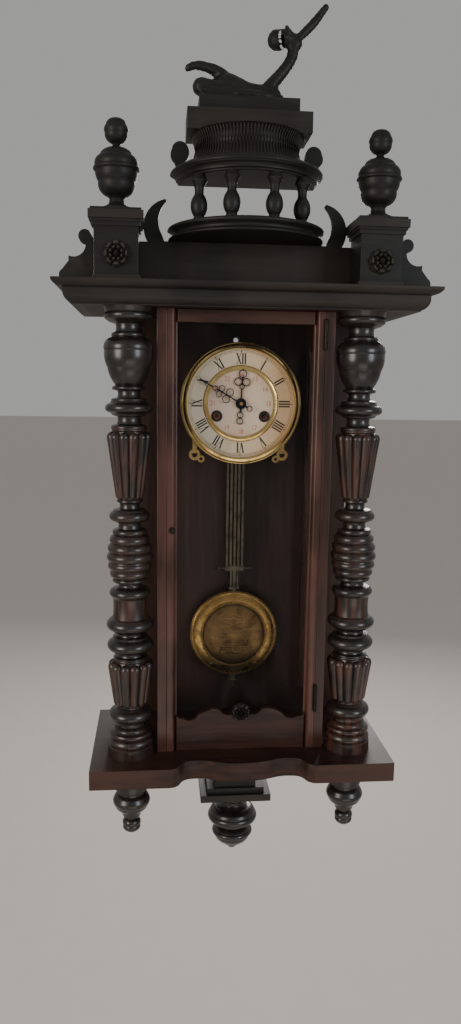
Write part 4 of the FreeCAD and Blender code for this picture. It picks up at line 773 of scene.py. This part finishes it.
MEDAL_SHARE = 42.0 / 62.5
MEDAL_REACH = MEDAL_SHARE * bob_reach
rings, steps = 90, 180
CROWN = 2.0 * MM
medal = [(0.0, bob_face - relief(0, 0, MEDAL_REACH / MM) * MM, bob_z)]
for ring in range(1, rings + 1):
    for i in range(steps):
        angle = 2 * math.pi * i / steps
        x = MEDAL_REACH * ring / rings * math.cos(angle)
        z = MEDAL_REACH * ring / rings * math.sin(angle)
        height = relief(x / MM, z / MM, MEDAL_REACH / MM) if ring < rings else -1.2
        medal.append((x, bob_face + CROWN * (ring / rings) ** 2 - height * MM, bob_z + z))
medal_faces = [(0, 1 + (i + 1) % steps, 1 + i) for i in range(steps)]
for ring in range(rings - 1):
    medal_faces += band(1 + ring * steps, steps)
medal_faces.append(tuple(1 + (rings - 1) * steps + i for i in range(steps)))
piece("bob_medallion", medal, medal_faces, bob_brass, "bob", True)
print("medallion reach", round(MEDAL_REACH, 4))

# %% [markdown]
# ## Reeds on the dome
# The drum under the plinth is lightly reeded. Thin upright ribs follow its hollow side, a
# little more than half buried, so only their rounded fronts show.

# %% Dome reeds
dome_low, dome_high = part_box("crest_dome")
DOME_PROFILE = [
    (71.8, 3.2), (69.2, 7), (67.4, 12), (66.0, 18), (65.9, 24), (67.0, 29), (69.2, 33), (73.0, 37.4),
]
REED_COUNT, REED_RADIUS = 52, 1.2 * MM


def tube(heap, path, radii, steps=8):
    """A closed round rod along a list of points."""
    verts = []
    for index, point in enumerate(path):
        before, after = path[max(index - 1, 0)], path[min(index + 1, len(path) - 1)]
        along = (after - before).normalized()
        side = along.cross(Vector((0, 0, 1)))
        side = side.normalized() if side.length > 1e-4 else along.cross(Vector((1, 0, 0))).normalized()
        up = side.cross(along)
        for i in range(steps):
            angle = 2 * math.pi * i / steps
            verts.append(tuple(point + (side * math.cos(angle) + up * math.sin(angle)) * radii[index]))
    faces = [tuple(range(steps)), tuple(range(len(verts) - 1, len(verts) - 1 - steps, -1))]
    for index in range(len(path) - 1):
        faces += band(index * steps, steps)
    heap.add(verts, faces)


ribs = Heap()
for index in range(REED_COUNT):
    angle = math.pi * (index + 0.5) / REED_COUNT
    path = [Vector((r * MM * math.cos(angle), dome_high[1] - r * MM * math.sin(angle),
                    dome_low[2] + rise * MM)) for r, rise in DOME_PROFILE]
    tube(ribs, path, [0.5 * MM] + [REED_RADIUS] * (len(path) - 2) + [0.5 * MM])
piece("dome_reeds", ribs.verts, ribs.faces, crest_black, "case", True)
print("dome has", REED_COUNT, "reeds")

# %% [markdown]
# ## Keyhole
# A small keyhole in the middle of the blackened escutcheon on the door's left stile, drawn as a thin black
# sheet: painted shade for the dark inside the hole.

# %% Keyhole
lock_low, lock_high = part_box("door_lock")
KEY_INSET, KEY_ROUND, KEY_FOOT, KEY_THICK = 7 * MM, 1.3 * MM, 2.6 * MM, 0.08 * MM
key_x, key_z = lock_low[0] + KEY_INSET, (lock_low[2] + lock_high[2]) / 2
hole = Heap()
round_part = [(key_x + KEY_ROUND * math.cos(a), key_z + 1 * MM + KEY_ROUND * math.sin(a))
              for a in [math.radians(-60 + 15 * i) for i in range(21)]]
hole.prism(round_part + [(key_x - 1.1 * MM, key_z - KEY_FOOT), (key_x + 1.1 * MM, key_z - KEY_FOOT)],
           lock_low[1] - KEY_THICK, lock_low[1] + 0.2 * MM)
# The black ink finish here is painted shade standing in for the hole, not a cut.
piece("keyhole", hole.verts, hole.faces, ink.material, "door")
print("keyhole at", round(key_x, 4), round(key_z, 4))

# %% [markdown]
# ## Stage
# The clock hangs free over a plain pale floor, so that it can be looked at from every side.
# There is no wall, because it would hide the back.

# %% Floor
stage_finish = Finish("pale_stage", Specular_IOR_Level=0.2)
plaster = stage_finish.grain(stage_finish.place(), 14, 4.0, 0.6)
stage_colour = stage_finish.blend(plaster, rgb(0.62, 0.57, 0.52), rgb(0.66, 0.61, 0.56))
stage_finish.link(Base_Color=stage_colour, Roughness=0.85 + plaster * 0.05,
                  Normal=stage_finish.bump(plaster, 0.0004, 0.3))


def sheet(name, corners):
    mesh = bpy.data.meshes.new(name)
    mesh.from_pydata(corners, [], [(0, 1, 2, 3)])
    made = bpy.data.objects.new(name, mesh)
    mesh.materials.append(stage_finish.material)
    bpy.context.scene.collection.objects.link(made)


FLOOR, REACH = -1.5, 40.0
sheet("floor", [(-REACH, -REACH, FLOOR), (REACH, -REACH, FLOOR), (REACH, REACH, FLOOR),
                (-REACH, REACH, FLOOR)])
print("stage ready")

# %% [markdown]
# ## Light
# Soft daylight comes from two windows in front, the stronger on the left, so the black
# polish shows two soft highlights on each round. A dim sky fills the rest.

# %% Lights
def lamp(name, place, target, size_x, size_y, watts, colour):
    data = bpy.data.lights.new(name, "AREA")
    data.shape = "RECTANGLE"
    data.size = size_x
    data.size_y = size_y
    data.energy = watts
    data.color = colour
    made = bpy.data.objects.new(name, data)
    made.visible_camera = False
    made.location = place
    made.rotation_mode = "QUATERNION"
    made.rotation_quaternion = (Vector(target) - Vector(place)).to_track_quat("-Z", "Y")
    bpy.context.scene.collection.objects.link(made)


lamp("window_left", (-1.7, -1.5, 0.05), (0, 0, -0.2), 0.9, 1.2, 26, (1.0, 0.91, 0.82))
lamp("window_right", (1.5, -1.9, 0.1), (0, 0, -0.2), 0.8, 1.1, 20, (0.88, 0.93, 1.0))
lamp("from_below", (0.2, -1.8, -1.2), (0, 0, -0.3), 1.4, 0.6, 4, (1.0, 0.95, 0.90))
lamp("behind", (0.6, 2.6, 0.8), (0, 0, -0.1), 1.4, 1.4, 50, (1.0, 0.97, 0.94))
world = bpy.data.worlds.new("room")
world.use_nodes = True
world.node_tree.nodes["Background"].inputs[0].default_value = (0.84, 0.83, 0.82, 1)
world.node_tree.nodes["Background"].inputs[1].default_value = 0.45
bpy.context.scene.world = world
print("lights ready")

# %% [markdown]
# ## Camera
# The viewer stands a little left of the clock and level with the dial, quite close, looking
# slightly down, with a wide lens.

# %% Camera
EYE = Vector((-0.1123, -1.1638, -0.0725))
YAW, PITCH, ROLL = 0.0926, 0.1539, 0.0136
camera_data = bpy.data.cameras.new("camera")
camera_data.lens = 27.51
camera_data.sensor_width = 36
camera_data.sensor_fit = "AUTO"
camera_data.clip_start = 0.05
camera = bpy.data.objects.new("camera", camera_data)
forward = Vector((math.sin(YAW) * math.cos(PITCH), math.cos(YAW) * math.cos(PITCH), -math.sin(PITCH)))
right = Vector((math.cos(YAW), -math.sin(YAW), 0))
up = right.cross(forward)
tilted_right = right * math.cos(ROLL) + up * math.sin(ROLL)
tilted_up = up * math.cos(ROLL) - right * math.sin(ROLL)
facing = Matrix((tilted_right, tilted_up, -forward)).transposed().to_4x4()
camera.matrix_world = Matrix.Translation(EYE) @ facing
bpy.context.scene.collection.objects.link(camera)
bpy.context.scene.camera = camera
print("camera looks along", [round(v, 3) for v in forward])
